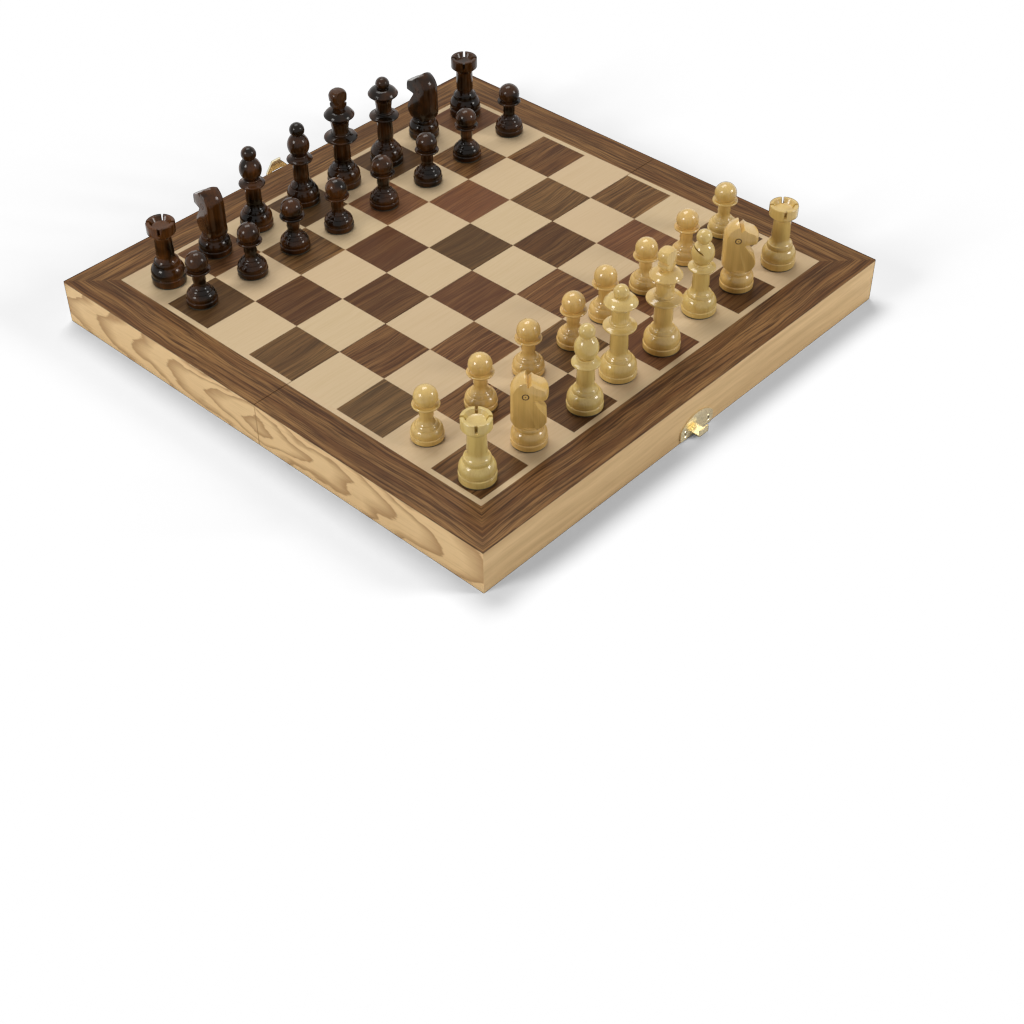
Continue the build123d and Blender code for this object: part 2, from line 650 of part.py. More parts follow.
def knight():
    """Turned foot under a horse's head cut from a domed blank with two flat sides, facing +X."""
    foot = turned_foot(
        KNIGHT_BASE,
        KNIGHT_DISC_HEIGHT,
        KNIGHT_SHOULDER,
        KNIGHT_SHOULDER_HEIGHT,
        KNIGHT_RING,
        KNIGHT_RING_HEIGHT,
    )
    bottom = KNIGHT_RING_HEIGHT + STEP
    foot.to(KNIGHT_RING - STEP, bottom)
    wide = bottom + KNIGHT_BLANK_RISE
    blank = Turning(KNIGHT_BLANK_FOOT, bottom).curve(KNIGHT_BLANK, wide, BULGE)
    blank.to(KNIGHT_BLANK, KNIGHT_HEIGHT - KNIGHT_DOME_HEIGHT).curve(KNIGHT_DOME_TOP, KNIGHT_HEIGHT, BULGE)
    nose = KNIGHT_HEIGHT - KNIGHT_NOSE_BELOW_TOP
    mouth = KNIGHT_HEIGHT - KNIGHT_MOUTH_BELOW_TOP
    chest = KNIGHT_HEIGHT - KNIGHT_CHEST_BELOW_TOP
    ear_root = nose + KNIGHT_MOUTH_HEIGHT
    side = [
        (-KNIGHT_BACK, bottom), (-KNIGHT_BACK, KNIGHT_HEIGHT), (KNIGHT_EAR, KNIGHT_HEIGHT),
        (KNIGHT_EAR_ROOT, ear_root), (KNIGHT_FORELOCK, ear_root + STEP), (KNIGHT_MOUTH, nose + STEP),
        (KNIGHT_NOSE, nose), (KNIGHT_NOSE, mouth), (KNIGHT_MOUTH, mouth - KNIGHT_MOUTH_HEIGHT),
        (KNIGHT_MOUTH, mouth - 2 * KNIGHT_MOUTH_HEIGHT), (KNIGHT_CHEST, chest), (KNIGHT_CHEST, bottom),
    ]
    slab = extrude(Plane.XZ * make_face(Polyline(*side, close=True)), KNIGHT_SLAB / 2, both=True)
    return foot.solid() + (blank.solid() & slab)


def chess_piece(make, base, height_above, x, y, turn):
    """A wooden piece with the felt disc under it and the magnet let into it."""
    pocket = Pos(0, 0, FELT + MAGNET_THICKNESS / 2) * Cylinder(MAGNET_RADIUS, MAGNET_THICKNESS)
    felt = Pos(0, 0, FELT / 2) * Cylinder(base - FELT_INSET, FELT)
    wood = make() - pocket
    place = Pos(x, y, height_above) * Rot(0, 0, turn)
    return [place * wood, place * pocket, place * felt]


KINDS = {
    "king": (king, KING_BASE),
    "queen": (queen, QUEEN_BASE),
    "bishop": (bishop, BISHOP_BASE),
    "knight": (knight, KNIGHT_BASE),
    "rook": (rook, ROOK_BASE),
    "pawn": (pawn, PAWN_BASE),
}
LIGHT_RANK = ("rook", "knight", "bishop", "queen", "king", "bishop", "knight", "rook")
DARK_RANK = ("rook", "knight", "bishop", "bishop", "king", "queen", "knight", "rook")
FILES = "abcdefgh"


def set_up(colour, rank, kinds, turn):
    """Stand one rank of pieces on its squares, each its own node."""
    for column, kind in enumerate(kinds):
        make, base = KINDS[kind]
        offset = SET_DOWN[f"{FILES[column]}{rank}"]
        x = (column + 0.5 - SQUARE_COUNT / 2) * SQUARE + offset[0]
        y = (rank - 0.5 - SQUARE_COUNT / 2) * SQUARE + offset[1]
        alone = kinds.count(kind) == 1
        name = f"{colour}_{kind}" if alone else f"{colour}_{kind}_{FILES[column]}"
        facing = {"knight": turn, "rook": NOTCH_TURN, "bishop": KERF_TURN.get(name, 0)}.get(kind, 0)
        parts[name] = group(chess_piece(make, base, BOARD_TOP, x, y, facing))


def build_case():
    """Both halves of the case; the far half is the near one turned round."""
    outer, fold, ends = walls()
    light_inlay = mitred_frame(BORDER, STRINGING) + squares(False)
    for side, move in (("near", lambda shape: shape), ("far", far)):
        parts[f"{side}_clasp_wall"] = move(outer)
        parts[f"{side}_fold_wall"] = move(fold)
        parts[f"{side}_end_walls"] = group(move(end) for end in ends)
        parts[f"{side}_panel"] = move(panel())
        parts[f"{side}_steel_sheet"] = move(inside(STEEL_MARGIN, STEEL_BOTTOM, PANEL_BOTTOM))
        parts[f"{side}_felt_lining"] = move(inside(LINING_MARGIN, STEEL_BOTTOM - LINING, STEEL_BOTTOM))
        parts[f"{side}_border"] = group(move(strip) for strip in mitred_frame(0, BORDER))
        parts[f"{side}_light_inlay"] = group(move(piece) for piece in light_inlay)
        parts[f"{side}_dark_squares"] = group(move(piece) for piece in squares(True))


def build_hardware():
    """Hinges, pins, clasp and every screw."""
    middle = HINGE_MIDDLE_KNUCKLE / 2
    edge = HINGE_LENGTH / 2
    outer_spans = [(-edge, -middle - KNUCKLE_GAP), (middle + KNUCKLE_GAP, edge)]
    middle_span = [(-middle, middle)]
    parts["near_hinge_leaves"] = group(hinge_leaf(x, outer_spans) for x in HINGE_X)
    parts["far_hinge_leaves"] = group(far(hinge_leaf(x, middle_span)) for x in HINGE_X)
    parts["hinge_pins"] = group(rod(HINGE_PIN_RADIUS, x - edge, x + edge, 0, AXIS_HEIGHT) for x in HINGE_X)
    parts["near_screws"] = group(hinge_screws() + clasp_screws())
    parts["far_screws"] = group(far(one) for one in hinge_screws() + clasp_screws())
    parts["hook_plate"] = hook_plate()
    parts["hasp_plate"] = far(hasp_plate())
    reach = hasp_knuckle_spans()[1][1]
    parts["hasp_pin"] = far(rod(HASP_PIN_RADIUS, -reach, reach, PIVOT_Y, HASP_PIVOT_HEIGHT))
    parts["hasp"] = far(hasp())


build_case()
build_hardware()
set_up("light", 1, LIGHT_RANK, LIGHT_NOSE_TURN)
set_up("light", 2, ("pawn",) * SQUARE_COUNT, 0)
set_up("dark", 7, ("pawn",) * SQUARE_COUNT, 0)
set_up("dark", 8, DARK_RANK, DARK_NOSE_TURN)

os.makedirs("parts", exist_ok=True)
for name, shape in parts.items():
    export_step(shape, f"parts/{name}.step")
print(f"{len(parts)} nodes")
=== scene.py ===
"""Dresses the packed folding chess set: turned pieces, inlaid board, brass clasp and a studio.

Lengths are in metres. Profiles are drawn upwards from a piece's foot as (radius, height).
"""

import math
import random

import bmesh
import bpy
from mathutils import Matrix, Vector


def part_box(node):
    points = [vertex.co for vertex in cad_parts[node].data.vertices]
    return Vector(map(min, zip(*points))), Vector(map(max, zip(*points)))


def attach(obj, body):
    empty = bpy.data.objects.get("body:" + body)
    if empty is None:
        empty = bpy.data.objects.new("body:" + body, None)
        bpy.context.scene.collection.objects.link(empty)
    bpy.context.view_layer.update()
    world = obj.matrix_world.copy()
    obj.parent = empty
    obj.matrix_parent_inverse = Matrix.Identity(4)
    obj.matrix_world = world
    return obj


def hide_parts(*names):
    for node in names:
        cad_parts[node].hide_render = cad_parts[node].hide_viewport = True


bl_info = {
    "name": "Folding chess set",
    "version": (1, 0, 0),
    "blender": (4, 5, 0),
    "location": "3D View > Sidebar > Chess set",
    "description": "Turned chess pieces, board finishes, a brass clasp and a studio around a packed frame",
    "category": "Object",
}

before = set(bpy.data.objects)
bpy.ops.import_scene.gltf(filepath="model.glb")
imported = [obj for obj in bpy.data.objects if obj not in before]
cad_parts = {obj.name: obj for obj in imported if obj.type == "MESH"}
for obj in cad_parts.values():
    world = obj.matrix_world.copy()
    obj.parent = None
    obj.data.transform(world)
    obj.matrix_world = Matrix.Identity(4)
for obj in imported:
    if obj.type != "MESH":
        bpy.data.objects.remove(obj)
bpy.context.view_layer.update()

MM = 0.001

# The frame already holds materials with the names of the slots, so a finish gets a name of its own
FINISH = "finish_"

# Material indices: the felt of a turned piece, the painted shade in its scribed lines, and the painted shade
# in a screw's recess
FELT_INDEX = 1
GROOVE_SHADE_INDEX = 2
RECESS_SHADE_INDEX = 1

FILES = "abcdefgh"
LIGHT_RANK = ("rook", "knight", "bishop", "queen", "king", "bishop", "knight", "rook")
DARK_RANK = ("rook", "knight", "bishop", "bishop", "king", "queen", "knight", "rook")

# Degrees from +X to a bishop's saw cut and to a knight's nose. The rooks all stand alike
ROOK_TURN = -47
PIECE_TURN = {
    "light_bishop_c": 30, "light_bishop_f": 140, "dark_bishop_c": 60, "dark_bishop_d": 20,
    "light_knight_b": -47, "light_knight_g": -47, "dark_knight_b": 78, "dark_knight_g": 86,
}

# How warm each light piece's wood is. The stained pieces draw theirs by lot
LIGHT_WARMTH = {
    "light_rook_a": 0.05, "light_knight_b": 0.75, "light_bishop_c": 0.15, "light_queen": 0.3,
    "light_king": 0.5, "light_bishop_f": 0.2, "light_knight_g": 0.7, "light_rook_h": 0.35,
    "light_pawn_a": 0.45, "light_pawn_b": 0.6, "light_pawn_c": 0.7, "light_pawn_d": 0.75,
    "light_pawn_e": 0.65, "light_pawn_f": 0.6, "light_pawn_g": 0.7, "light_pawn_h": 0.4,
}

# Steps along an arc and a ball, and the turns at which an outline's corner is eased and an edge is sharp
ARC_STEP = math.radians(7)
BALL_STEP = math.radians(6)
SHARP_TURN = math.radians(24)
SMOOTH_TURN = math.radians(38)

# An eased corner takes at most this share of the edge beside it, and has these points
MOST_EASED = 0.45
EASED_SHARES = (0, 1 / 3, 2 / 3, 1)

# Points closer than this are one point, and a face deeper than this is inside a scribed line
TINY = 0.0001 * MM
SCRIBE_DEPTH = 0.01 * MM

# Half the width of the field of squares and the side of a square, in millimetres
FIELD_HALF = (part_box("far_dark_squares")[1].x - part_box("far_dark_squares")[0].x) / 2 / MM
SQUARE = 2 * FIELD_HALF / len(FILES)

# Layers of wood grain: cycles per millimetre along, across and into the wood, then detail and roughness
FIGURE = ((0.010, 0.20, 0.20), 3.0, 0.55)
FIBRE = ((0.035, 1.5, 1.5), 4.0, 0.65)
PORES = ((0.14, 3.2, 3.2), 2.0, 0.6)
DRIFT_RATE = (0.012, 0.03, 0.0)
PATCH_RATE = (0.10, 0.10, 0.10)

# How far the grain wanders across its own run on large parts, squares and pieces, in millimetres
WANDER, SQUARE_WANDER, PIECE_WANDER = 8.0, 12.8, 3.2

# How far apart in a plank two squares may be cut, along and across it, and two pieces, in millimetres
SQUARE_JUMP = (400.0, 300.0)
PIECE_JUMP = 80.0

# Arched rings on an end wall: their shift and place along the wall, their centre's height and how far they
# waver, in millimetres. Then how flat they are, how many a millimetre holds and how far the fibre frays them
ARCH_SHIFT, ARCH_PLACE, ARCH_HEIGHT, ARCH_WAVER = 130.0, 60.0, 12.0, 26.0
ARCH_FLATNESS, RING_RATE, RING_FRAY = 0.13, 0.27, 0.25
WAVER_RATE = (0.022, 0.06, 1.0)
WAVER_SLICE = 4.0

# How much rougher the board's wood is than its lacquer, and the case's lacquer than the board's
UNDERCOAT = 0.2
CASE_ROUGHER = 0.1

# The lamps: where each hangs, what it is aimed at, its two sides and its tint
LAMPS = {
    "key": ((0.25, 0.55, 1.35), (0, 0, 0.02), (0.9, 0.6), (1.0, 0.985, 0.96)),
    "left": ((-1.25, 0.25, 0.75), (0, 0, 0.03), (0.42, 0.42), (1.0, 0.98, 0.95)),
    "right": ((0.75, -1.15, 0.75), (0, 0, 0.03), (0.42, 0.42), (1.0, 0.98, 0.95)),
}


def node_names(tone, rank):
    """The nodes of one tone's officers, in file order, by kind."""
    named = []
    for column, kind in enumerate(rank):
        alone = rank.count(kind) == 1
        named.append((kind, f"{tone}_{kind}" if alone else f"{tone}_{kind}_{FILES[column]}"))
    return named


def nodes_of(kind):
    """Every (tone, node) of one kind."""
    found = []
    for tone, rank in (("light", LIGHT_RANK), ("dark", DARK_RANK)):
        officers = node_names(tone, rank)
        pawns = [("pawn", f"{tone}_pawn_{letter}") for letter in FILES]
        found += [(tone, node) for named, node in officers + pawns if named == kind]
    return found


def frame_height(node):
    """A piece's height above the board, from the frame."""
    low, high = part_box(node)
    return high.z - low.z


def frame_radius(node):
    """A turned piece's foot radius, from the frame."""
    low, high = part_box(node)
    return (high.x - low.x) / 2


def length(name, default, description):
    """A property that holds a length in metres."""
    return bpy.props.FloatProperty(
        name=name, description=description, default=default, min=0.0, precision=5, unit="LENGTH"
    )


def factor(name, default, description):
    """A property that holds a plain factor."""
    return bpy.props.FloatProperty(name=name, description=description, default=default, subtype="FACTOR")


def count(name, default, description):
    """A property that holds a count."""
    return bpy.props.IntProperty(name=name, description=description, default=default, min=1)


def colour(name, default, description):
    """A property that holds a colour."""
    return bpy.props.FloatVectorProperty(
        name=name, description=description, default=default, min=0.0, max=1.0, subtype="COLOR"
    )


def angle(name, default, description):
    """A property that holds an angle, given in degrees."""
    return bpy.props.FloatProperty(
        name=name, description=description, default=math.radians(default), subtype="ANGLE"
    )


def power(name, default, description):
    """A property that holds a lamp's power in watts."""
    return bpy.props.FloatProperty(name=name, description=description, default=default, unit="POWER")


# Lengths that several kinds of piece have: each one's label and description
COMMON_LENGTHS = {
    "height": ("Height", "Height above the board"),
    "base": ("Foot", "Radius of the foot"),
    "disc_height": ("Disc height", "Top of the foot disc"),
    "shoulder": ("Shoulder", "Radius of the shoulder line"),
    "shoulder_height": ("Shoulder height", "Height of the shoulder line"),
    "ring": ("Ring", "Radius of the ring over the foot"),
    "ring_height": ("Ring height", "Height of the ring over the foot"),
    "waist": ("Waist", "Radius at the top of the waist"),
    "collar": ("Collar", "Radius of the collar"),
    "bead": ("Bead", "Radius of the bead over the collar"),
    "bead_height": ("Bead height", "Height of the bead"),
    "neck": ("Neck", "Radius under the crown, the mitre or a pawn's ball"),
    "neck_height": ("Neck height", "Height of the upper waist"),
    "crown": ("Crown", "Radius of the crown"),
    "dome": ("Dome", "Radius at the top of the dome"),
    "dome_height": ("Dome height", "Height of the dome over the crown"),
    "ball": ("Ball", "Radius of the ball"),
}


def turned_like(node, **lengths):
    """Adds common lengths to a group: those given, in millimetres, and its CAD node's height and foot."""
    defaults = {"height": frame_height(node), "base": frame_radius(node)}
    defaults.update({name: value * MM for name, value in lengths.items()})

    def add(group):
        for name, default in defaults.items():
            label, description = COMMON_LENGTHS[name]
            group.__annotations__[name] = length(label, default, description)
        return group

    return add


class SharedSizes(bpy.types.PropertyGroup):
    """What all turned pieces have in common."""

    segments: count("Segments", 72, "Faces round a turned piece")
    ease: length("Eased edge", 0.16 * MM, "Radius of a sanded edge")
    felt: length("Felt", 0.6 * MM, "Thickness of the felt disc")
    felt_inset: length("Felt inset", 0.4 * MM, "How far the felt stays inside the foot")
    edge: length("Foot chamfer", 0.3 * MM, "Chamfer of the foot disc")
    groove: length("Groove", 0.5 * MM, "Depth of the groove over the foot disc")
    step: length("Step", 0.4 * MM, "Turned step at the shoulder and the ring")
    rim: length("Rim", 1.2 * MM, "Thickness of a collar's rim")
    flare: length("Flare", 1.9 * MM, "Rise of the flare under a collar")
    cone: length("Crown flare", 6.4 * MM, "Rise of the flare under a crown")
    waist_foot: length("Waist foot", 4.4 * MM, "Rise of the hollow at the foot of a waist")
    waist_taper: length("Waist taper", 0.4 * MM, "How much a waist narrows upwards")
    bulge: factor("Bulge bow", 0.15, "How far the bulge stands off its chord")
    shoulder_bow: factor("Shoulder bow", 0.08, "How far the shoulder stands off its chord")
    waist_bow: factor("Waist bow", -0.14, "How far the waist's foot is hollowed")
    flare_bow: factor("Flare bow", -0.12, "How far a flare is hollowed")
    rim_bow: factor("Rim bow", 0.3, "How far a rim is rounded")
    cup_bow: factor("Cup bow", -0.06, "How far a collar's top is dished")


@turned_like(
    "light_pawn_a",
    disc_height=3.4, shoulder=6.4, shoulder_height=7.5, ring=4.7, ring_height=9.4,
    waist=3.1, collar=6.35, neck=4.6, ball=5.85,
)
class PawnSizes(bpy.types.PropertyGroup):
    """A pawn's radii and heights."""


@turned_like(
    "light_rook_a",
    disc_height=4.6, shoulder=7.0, shoulder_height=10.9, ring=6.3, ring_height=13.5, waist=4.5,
)
class RookSizes(bpy.types.PropertyGroup):
    """A rook's radii and heights."""

    cup: length("Cup", 6.6 * MM, "Radius of the turret under its rim")
    cup_rise: length("Cup rise", 3.2 * MM, "Rise of the flare under the turret")
    rim: length("Turret", 7.35 * MM, "Radius of the turret")
    rim_height: length("Turret height", 5.9 * MM, "Height of the turret's wall")
    hollow: length("Hollow", 5.6 * MM, "Radius of the hollow at the top")
    hollow_floor: length("Hollow floor", 4.4 * MM, "Radius of the hollow's floor")
    hollow_depth: length("Hollow depth", 2.2 * MM, "Depth of the hollow")
    notch: length("Notch", 1.4 * MM, "Width of a saw cut")
    notch_depth: length("Notch depth", 4.4 * MM, "Depth of a saw cut")


@turned_like(
    "light_bishop_c",
    disc_height=3.6, shoulder=6.9, shoulder_height=9.8, ring=5.7, ring_height=11.8,
    waist=4.1, collar=6.7, bead=4.5, bead_height=1.1, neck=3.5, ball=3.95,
)
class BishopSizes(bpy.types.PropertyGroup):
    """A bishop's radii and heights."""

    mitre_height: length("Mitre height", 11.6 * MM, "Height of the mitre")
    mitre_bow: factor("Mitre bow", 0.24, "How far the mitre stands off its chord")
    mitre_top: length("Mitre top", 2.7 * MM, "Radius under the ball")
    kerf: length("Saw cut", 0.8 * MM, "Width of the saw cut")
    kerf_slope: angle("Saw cut slope", 32, "Slope of the saw cut")
    kerf_reach: length("Saw cut reach", 4.8 * MM, "How far from the axis the saw cut is centred")
    kerf_depth: length("Saw cut depth", 4.2 * MM, "How far the saw cut runs each way from there")
    kerf_below_top: length("Saw cut below top", 9.4 * MM, "How far below the top the saw cut lies")


@turned_like(
    "light_queen",
    disc_height=3.7, shoulder=7.1, shoulder_height=10.0, ring=5.8, ring_height=11.9,
    waist=4.2, collar=7.9, bead=5.1, bead_height=1.3, neck=4.4, neck_height=10.4,
    crown=7.9, dome=3.1, dome_height=3.6, ball=3.75,
)
class QueenSizes(bpy.types.PropertyGroup):
    """A queen's radii and heights."""


@turned_like(
    "light_king",
    disc_height=4.0, shoulder=7.1, shoulder_height=10.6, ring=5.9, ring_height=12.6,
    waist=4.5, collar=8.8, bead=5.3, bead_height=1.3, neck=4.7, neck_height=10.3,
    crown=7.9, dome=3.2, dome_height=3.2,
)
class KingSizes(bpy.types.PropertyGroup):
    """A king's radii and heights."""

    cross_height: length("Cross height", 11.4 * MM, "Height of the cross")
    cross_radius: length("Cross radius", 4.8 * MM, "Radius of the knob that the cross is cut from")
    cross_foot: length("Cross foot", 4.3 * MM, "Radius of the knob near its foot")
    cross_foot_height: length("Cross foot height", 2.2 * MM, "Height of the knob's flare")
    cross_dome: length("Cross dome", 1.6 * MM, "Rounding of the knob's top")
    slab: length("Cross thickness", 6.0 * MM, "Distance between the knob's flat faces")
    notch_depth: length("Notch depth", 2.9 * MM, "Depth of the notches at the cross's sides")
    notch_height: length("Notch height", 3.6 * MM, "Opening of the notches")
    notch_middle: length("Notch middle", 4.6 * MM, "Height of the notches over the dome")


@turned_like(
    "light_knight_b",
    base=8.8, disc_height=3.8, shoulder=7.0, shoulder_height=9.2, ring=6.2, ring_height=11.2,
)
class KnightSizes(bpy.types.PropertyGroup):
    """A knight's foot, blank and cuts. Reaches run forward from the axis."""

    blank: length("Blank", 8.9 * MM, "Radius of the round blank")
    blank_foot: length("Blank foot", 6.9 * MM, "Radius of the blank at its foot")
    blank_rise: length("Blank rise", 7.0 * MM, "Height over which the blank swells")
    dome_height: length("Dome height", 8.4 * MM, "Height of the blank's domed top")
    dome_top: length("Dome top", 2.0 * MM, "Radius of the flat on the dome")
    slab: length("Thickness", 10.0 * MM, "Distance between the flat sides")
    back: length("Back", 8.6 * MM, "Reach of the back")
    ear: length("Ear", 1.9 * MM, "How far back the ear's tip is")
    ear_root: length("Ear root", 0.6 * MM, "How far back the ear's root is")
    forelock: length("Forelock", 1.0 * MM, "Reach of the forelock")
    nose: length("Nose", 9.2 * MM, "Reach of the nose")
    nose_below_top: length("Nose below top", 4.6 * MM, "How far the nose's top lies under the ear")
    nose_slope: length("Nose slope", 2.6 * MM, "How much the nose's top drops to its tip")
    mouth_below_top: length("Mouth below top", 10.6 * MM, "How far the mouth lies under the ear")
    mouth: length("Mouth", 2.5 * MM, "Reach of the mouth's corner")
    mouth_height: length("Mouth height", 1.4 * MM, "Height of the mouth's corner")
    chest: length("Chest", 8.0 * MM, "Reach of the chest")
    chest_below_top: length("Chest below top", 21.5 * MM, "How far the chest lies under the ear")
    eye_back: length("Eye back", 1.7 * MM, "How far behind the axis the eye is")
    eye_below_top: length("Eye below top", 9.5 * MM, "How far the eye lies under the ear")
    eye: length("Eye", 1.45 * MM, "Radius of the scribed eye")
    scribe: length("Scribed line", 0.26 * MM, "Half the width of the scribed line")
    nostril: length("Mouth dot", 0.55 * MM, "Radius of the drilled dot at the mouth's corner")


class ScrewSizes(bpy.types.PropertyGroup):
    """A small countersunk screw with a cross recess."""

    head: length("Head", 1.9 * MM, "Radius of the head")
    depth: length("Head depth", 1.1 * MM, "Depth of the head's cone")
    shank: length("Shank", 0.9 * MM, "Radius of the shank")
    reach: length("Length", 7.0 * MM, "Length under the head's face")
    gap: length("Gap", 0.2 * MM, "Gap between the head and its countersink")
    hinge_spacing: length("Hinge screw spacing", 20.0 * MM, "Distance between a hinge leaf's screws")
    clasp_spacing: length("Clasp screw spacing", 18.0 * MM, "Distance between a clasp plate's screws")
    slot: length("Recess", 0.42 * MM, "Width of the cross recess")
    slot_reach: length("Recess reach", 1.15 * MM, "Half the length of the cross recess")
    slot_depth: length("Recess depth", 0.7 * MM, "Depth of the cross recess")


class Looks(bpy.types.PropertyGroup):
    """Colours of the woods, felts and metals, and how glossy the lacquers are."""

    box_pale: colour("Pale boxwood", (0.65, 0.50, 0.17), "Palest light piece")
    box_warm: colour("Warm boxwood", (0.76, 0.47, 0.145), "Warmest light piece")
    box_grain: colour("Boxwood grain", (0.46, 0.275, 0.07), "Grain of the light pieces")
    stain: colour("Stain", (0.009, 0.0045, 0.0015), "Darkest stain")
    amber: colour("Amber", (0.125, 0.042, 0.008), "Where the stain lets the wood through")
    walnut_dark: colour("Dark walnut", (0.045, 0.018, 0.006), "Walnut's dark streaks")
    walnut_mid: colour("Walnut", (0.145, 0.063, 0.021), "Walnut")
    walnut_pale: colour("Pale walnut", (0.27, 0.140, 0.052), "Walnut's pale streaks")
    walnut_cool: colour("Cool walnut", (0.090, 0.060, 0.026), "Tint of the greyer dark squares")
    walnut_red: colour("Red walnut", (0.19, 0.072, 0.038), "Tint of the redder dark squares")
    maple: colour("Maple", (0.60, 0.46, 0.285), "Light squares and stringing")
    maple_grain: colour("Maple grain", (0.50, 0.36, 0.19), "Flecks in the light squares")
    maple_warm: colour("Warm maple", (0.60, 0.42, 0.27), "Tint of the warmer light squares")
    pine: colour("Case wood", (0.73, 0.515, 0.27), "Case walls")
    pine_grain: colour("Case grain", (0.30, 0.155, 0.055), "Late wood of the case walls")
    plywood: colour("Plywood", (0.46, 0.33, 0.18), "Panel under the veneer")
    # Painted shade laid into the bottom of a knight's eye ring
    scribed: colour("Scribed line", (0.060, 0.022, 0.008), "Bottom of a knight's eye ring")
    felt: colour("Felt", (0.012, 0.018, 0.013), "Felt under the pieces")
    lining: colour("Lining", (0.018, 0.075, 0.035), "Felt inside the box")
    brass: colour("Brass", (0.78, 0.70, 0.49), "Plated clasp and hinges")
    # Painted shade: a dark metal laid into the bottom of a screw's cross recess
    recess: colour("Screw recess", (0.20, 0.15, 0.08), "Bottom of a screw's recess")
    steel: colour("Steel", (0.46, 0.47, 0.48), "Sheet under the board")
    gloss: factor("Gloss", 0.10, "Roughness of the pieces' lacquer")
    satin: factor("Satin", 0.34, "Roughness of the board's lacquer")


class StageSizes(bpy.types.PropertyGroup):
    """Camera, lamps and floor."""

    lens: bpy.props.FloatProperty(name="Lens", description="Focal length", default=60.19, unit="CAMERA")
    azimuth: angle("Azimuth", -46.994, "Camera's turn about Z")
    elevation: angle("Elevation", 42.698, "Camera's height angle")
    roll: angle("Roll", -0.387, "Camera's roll")
    distance: length("Distance", 776.79 * MM, "From the camera to its target")
    target: bpy.props.FloatVectorProperty(
        name="Target",
        description="Point that the camera looks at",
        default=(-112.284 * MM, -132.094 * MM, 12 * MM),
        unit="LENGTH",
    )
    floor: length("Floor", 6.0, "Side of the floor")
    key: power("Key lamp", 12.5, "Power of the lamp overhead")
    side: power("Side lamps", 9.0, "Power of each side lamp")
    fill: factor("Fill", 0.16, "Strength of the room's light")


GROUPS = {
    "shared": SharedSizes,
    "pawn": PawnSizes,
    "rook": RookSizes,
    "bishop": BishopSizes,
    "queen": QueenSizes,
    "king": KingSizes,
    "knight": KnightSizes,
    "screw": ScrewSizes,
    "looks": Looks,
    "stage": StageSizes,
}


class ChessSettings(bpy.types.PropertyGroup):
    """Every size and colour, by group."""

    __annotations__ = {
        key: bpy.props.PointerProperty(type=group, name=key.title(), description=group.__doc__)
        for key, group in GROUPS.items()
    }


def settings():
    """This scene's sizes and colours."""
    return bpy.context.scene.chess_set


# Turned outlines


class Outline:
    """A turned outline, drawn upwards from the foot."""

    def __init__(self, radius, height):
        self.points = [(0.0, height), (radius, height)]

    def to(self, radius, height):
        """A straight cut."""
        self.points.append((radius, height))
        return self

    def curve(self, radius, height, bow):
        """An arc whose middle stands off its chord by bow times the chord, inwards when negative."""
        start_radius, start_height = self.points[-1]
        run, rise = radius - start_radius, height - start_height
        half = 2 * math.atan(2 * bow)
        steps = max(4, round(abs(2 * half) / ARC_STEP))
        for index in range(1, steps + 1):
            turn = -half + 2 * half * index / steps
            along = (math.sin(turn) + math.sin(half)) / (2 * math.sin(half))
            off = (math.cos(turn) - math.cos(half)) / (2 * math.sin(half))
            self.points.append(
                (start_radius + along * run + off * rise, start_height + along * rise - off * run)
            )
        return self

    def ball(self, radius, top):
        """The rest of a sphere on the axis, from here to its top."""
        middle = top - radius
        start_radius, start_height = self.points[-1]
        start = math.atan2(start_height - middle, start_radius)
        steps = round((math.pi / 2 - start) / BALL_STEP)
        for index in range(1, steps):
            turn = start + (math.pi / 2 - start) * index / steps
            self.points.append((radius * math.cos(turn), middle + radius * math.sin(turn)))
        self.points.append((0.0, top))
        return self

    def close(self):
        """Ends the outline on the axis."""
        self.points.append((0.0, self.points[-1][1]))
        return self

    def eased(self, radius):
        """The outline's points with every sharp corner rounded."""
        result = [self.points[0]]
        for before, here, after in zip(self.points, self.points[1:], self.points[2:]):
            first = Vector(before) - Vector(here)
            second = Vector(after) - Vector(here)
            if first.length < TINY or second.length < TINY:
                continue
            turn = math.pi - first.angle(second)
            if turn < SHARP_TURN:
                result.append(here)
                continue
            back = min(radius * math.tan(turn / 2), MOST_EASED * first.length, MOST_EASED * second.length)
            start = Vector(here) + first.normalized() * back
            end = Vector(here) + second.normalized() * back
            for share in EASED_SHARES:
                corner = Vector(here) * 2 * share * (1 - share)
                result.append(tuple(start * (1 - share) ** 2 + corner + end * share**2))
        return result + [self.points[-1]]


def lathe(points, segments):
    """A closed mesh turned about Z from points on and off the axis."""
    mesh = bmesh.new()
    rings = []
    for radius, height in points:
        if radius < TINY:
            rings.append([mesh.verts.new((0, 0, height))])
            continue
        turns = [2 * math.pi * index / segments for index in range(segments)]
        rings.append([mesh.verts.new((radius * math.cos(t), radius * math.sin(t), height)) for t in turns])
    for low, high in zip(rings, rings[1:]):
        for index in range(segments):
            following = (index + 1) % segments
            corners = [low[index % len(low)], low[following % len(low)]]
            corners += [high[following % len(high)], high[index % len(high)]]
            face = list(dict.fromkeys(corners))
            if len(face) > 2:
                mesh.faces.new(face)
    bmesh.ops.recalc_face_normals(mesh, faces=mesh.faces)
    return mesh


def prism(points, thickness):
    """An outline in the XZ plane as a closed slab that is centred on y = 0."""
    mesh = bmesh.new()
    front = [mesh.verts.new((x, -thickness / 2, z)) for x, z in points]
    back = [mesh.verts.new((x, thickness / 2, z)) for x, z in points]
    mesh.faces.new(front)
    mesh.faces.new(reversed(back))
    for index in range(len(points)):
        following = (index + 1) % len(points)
        mesh.faces.new([front[following], front[index], back[index], back[following]])
    bmesh.ops.recalc_face_normals(mesh, faces=mesh.faces)
    return mesh


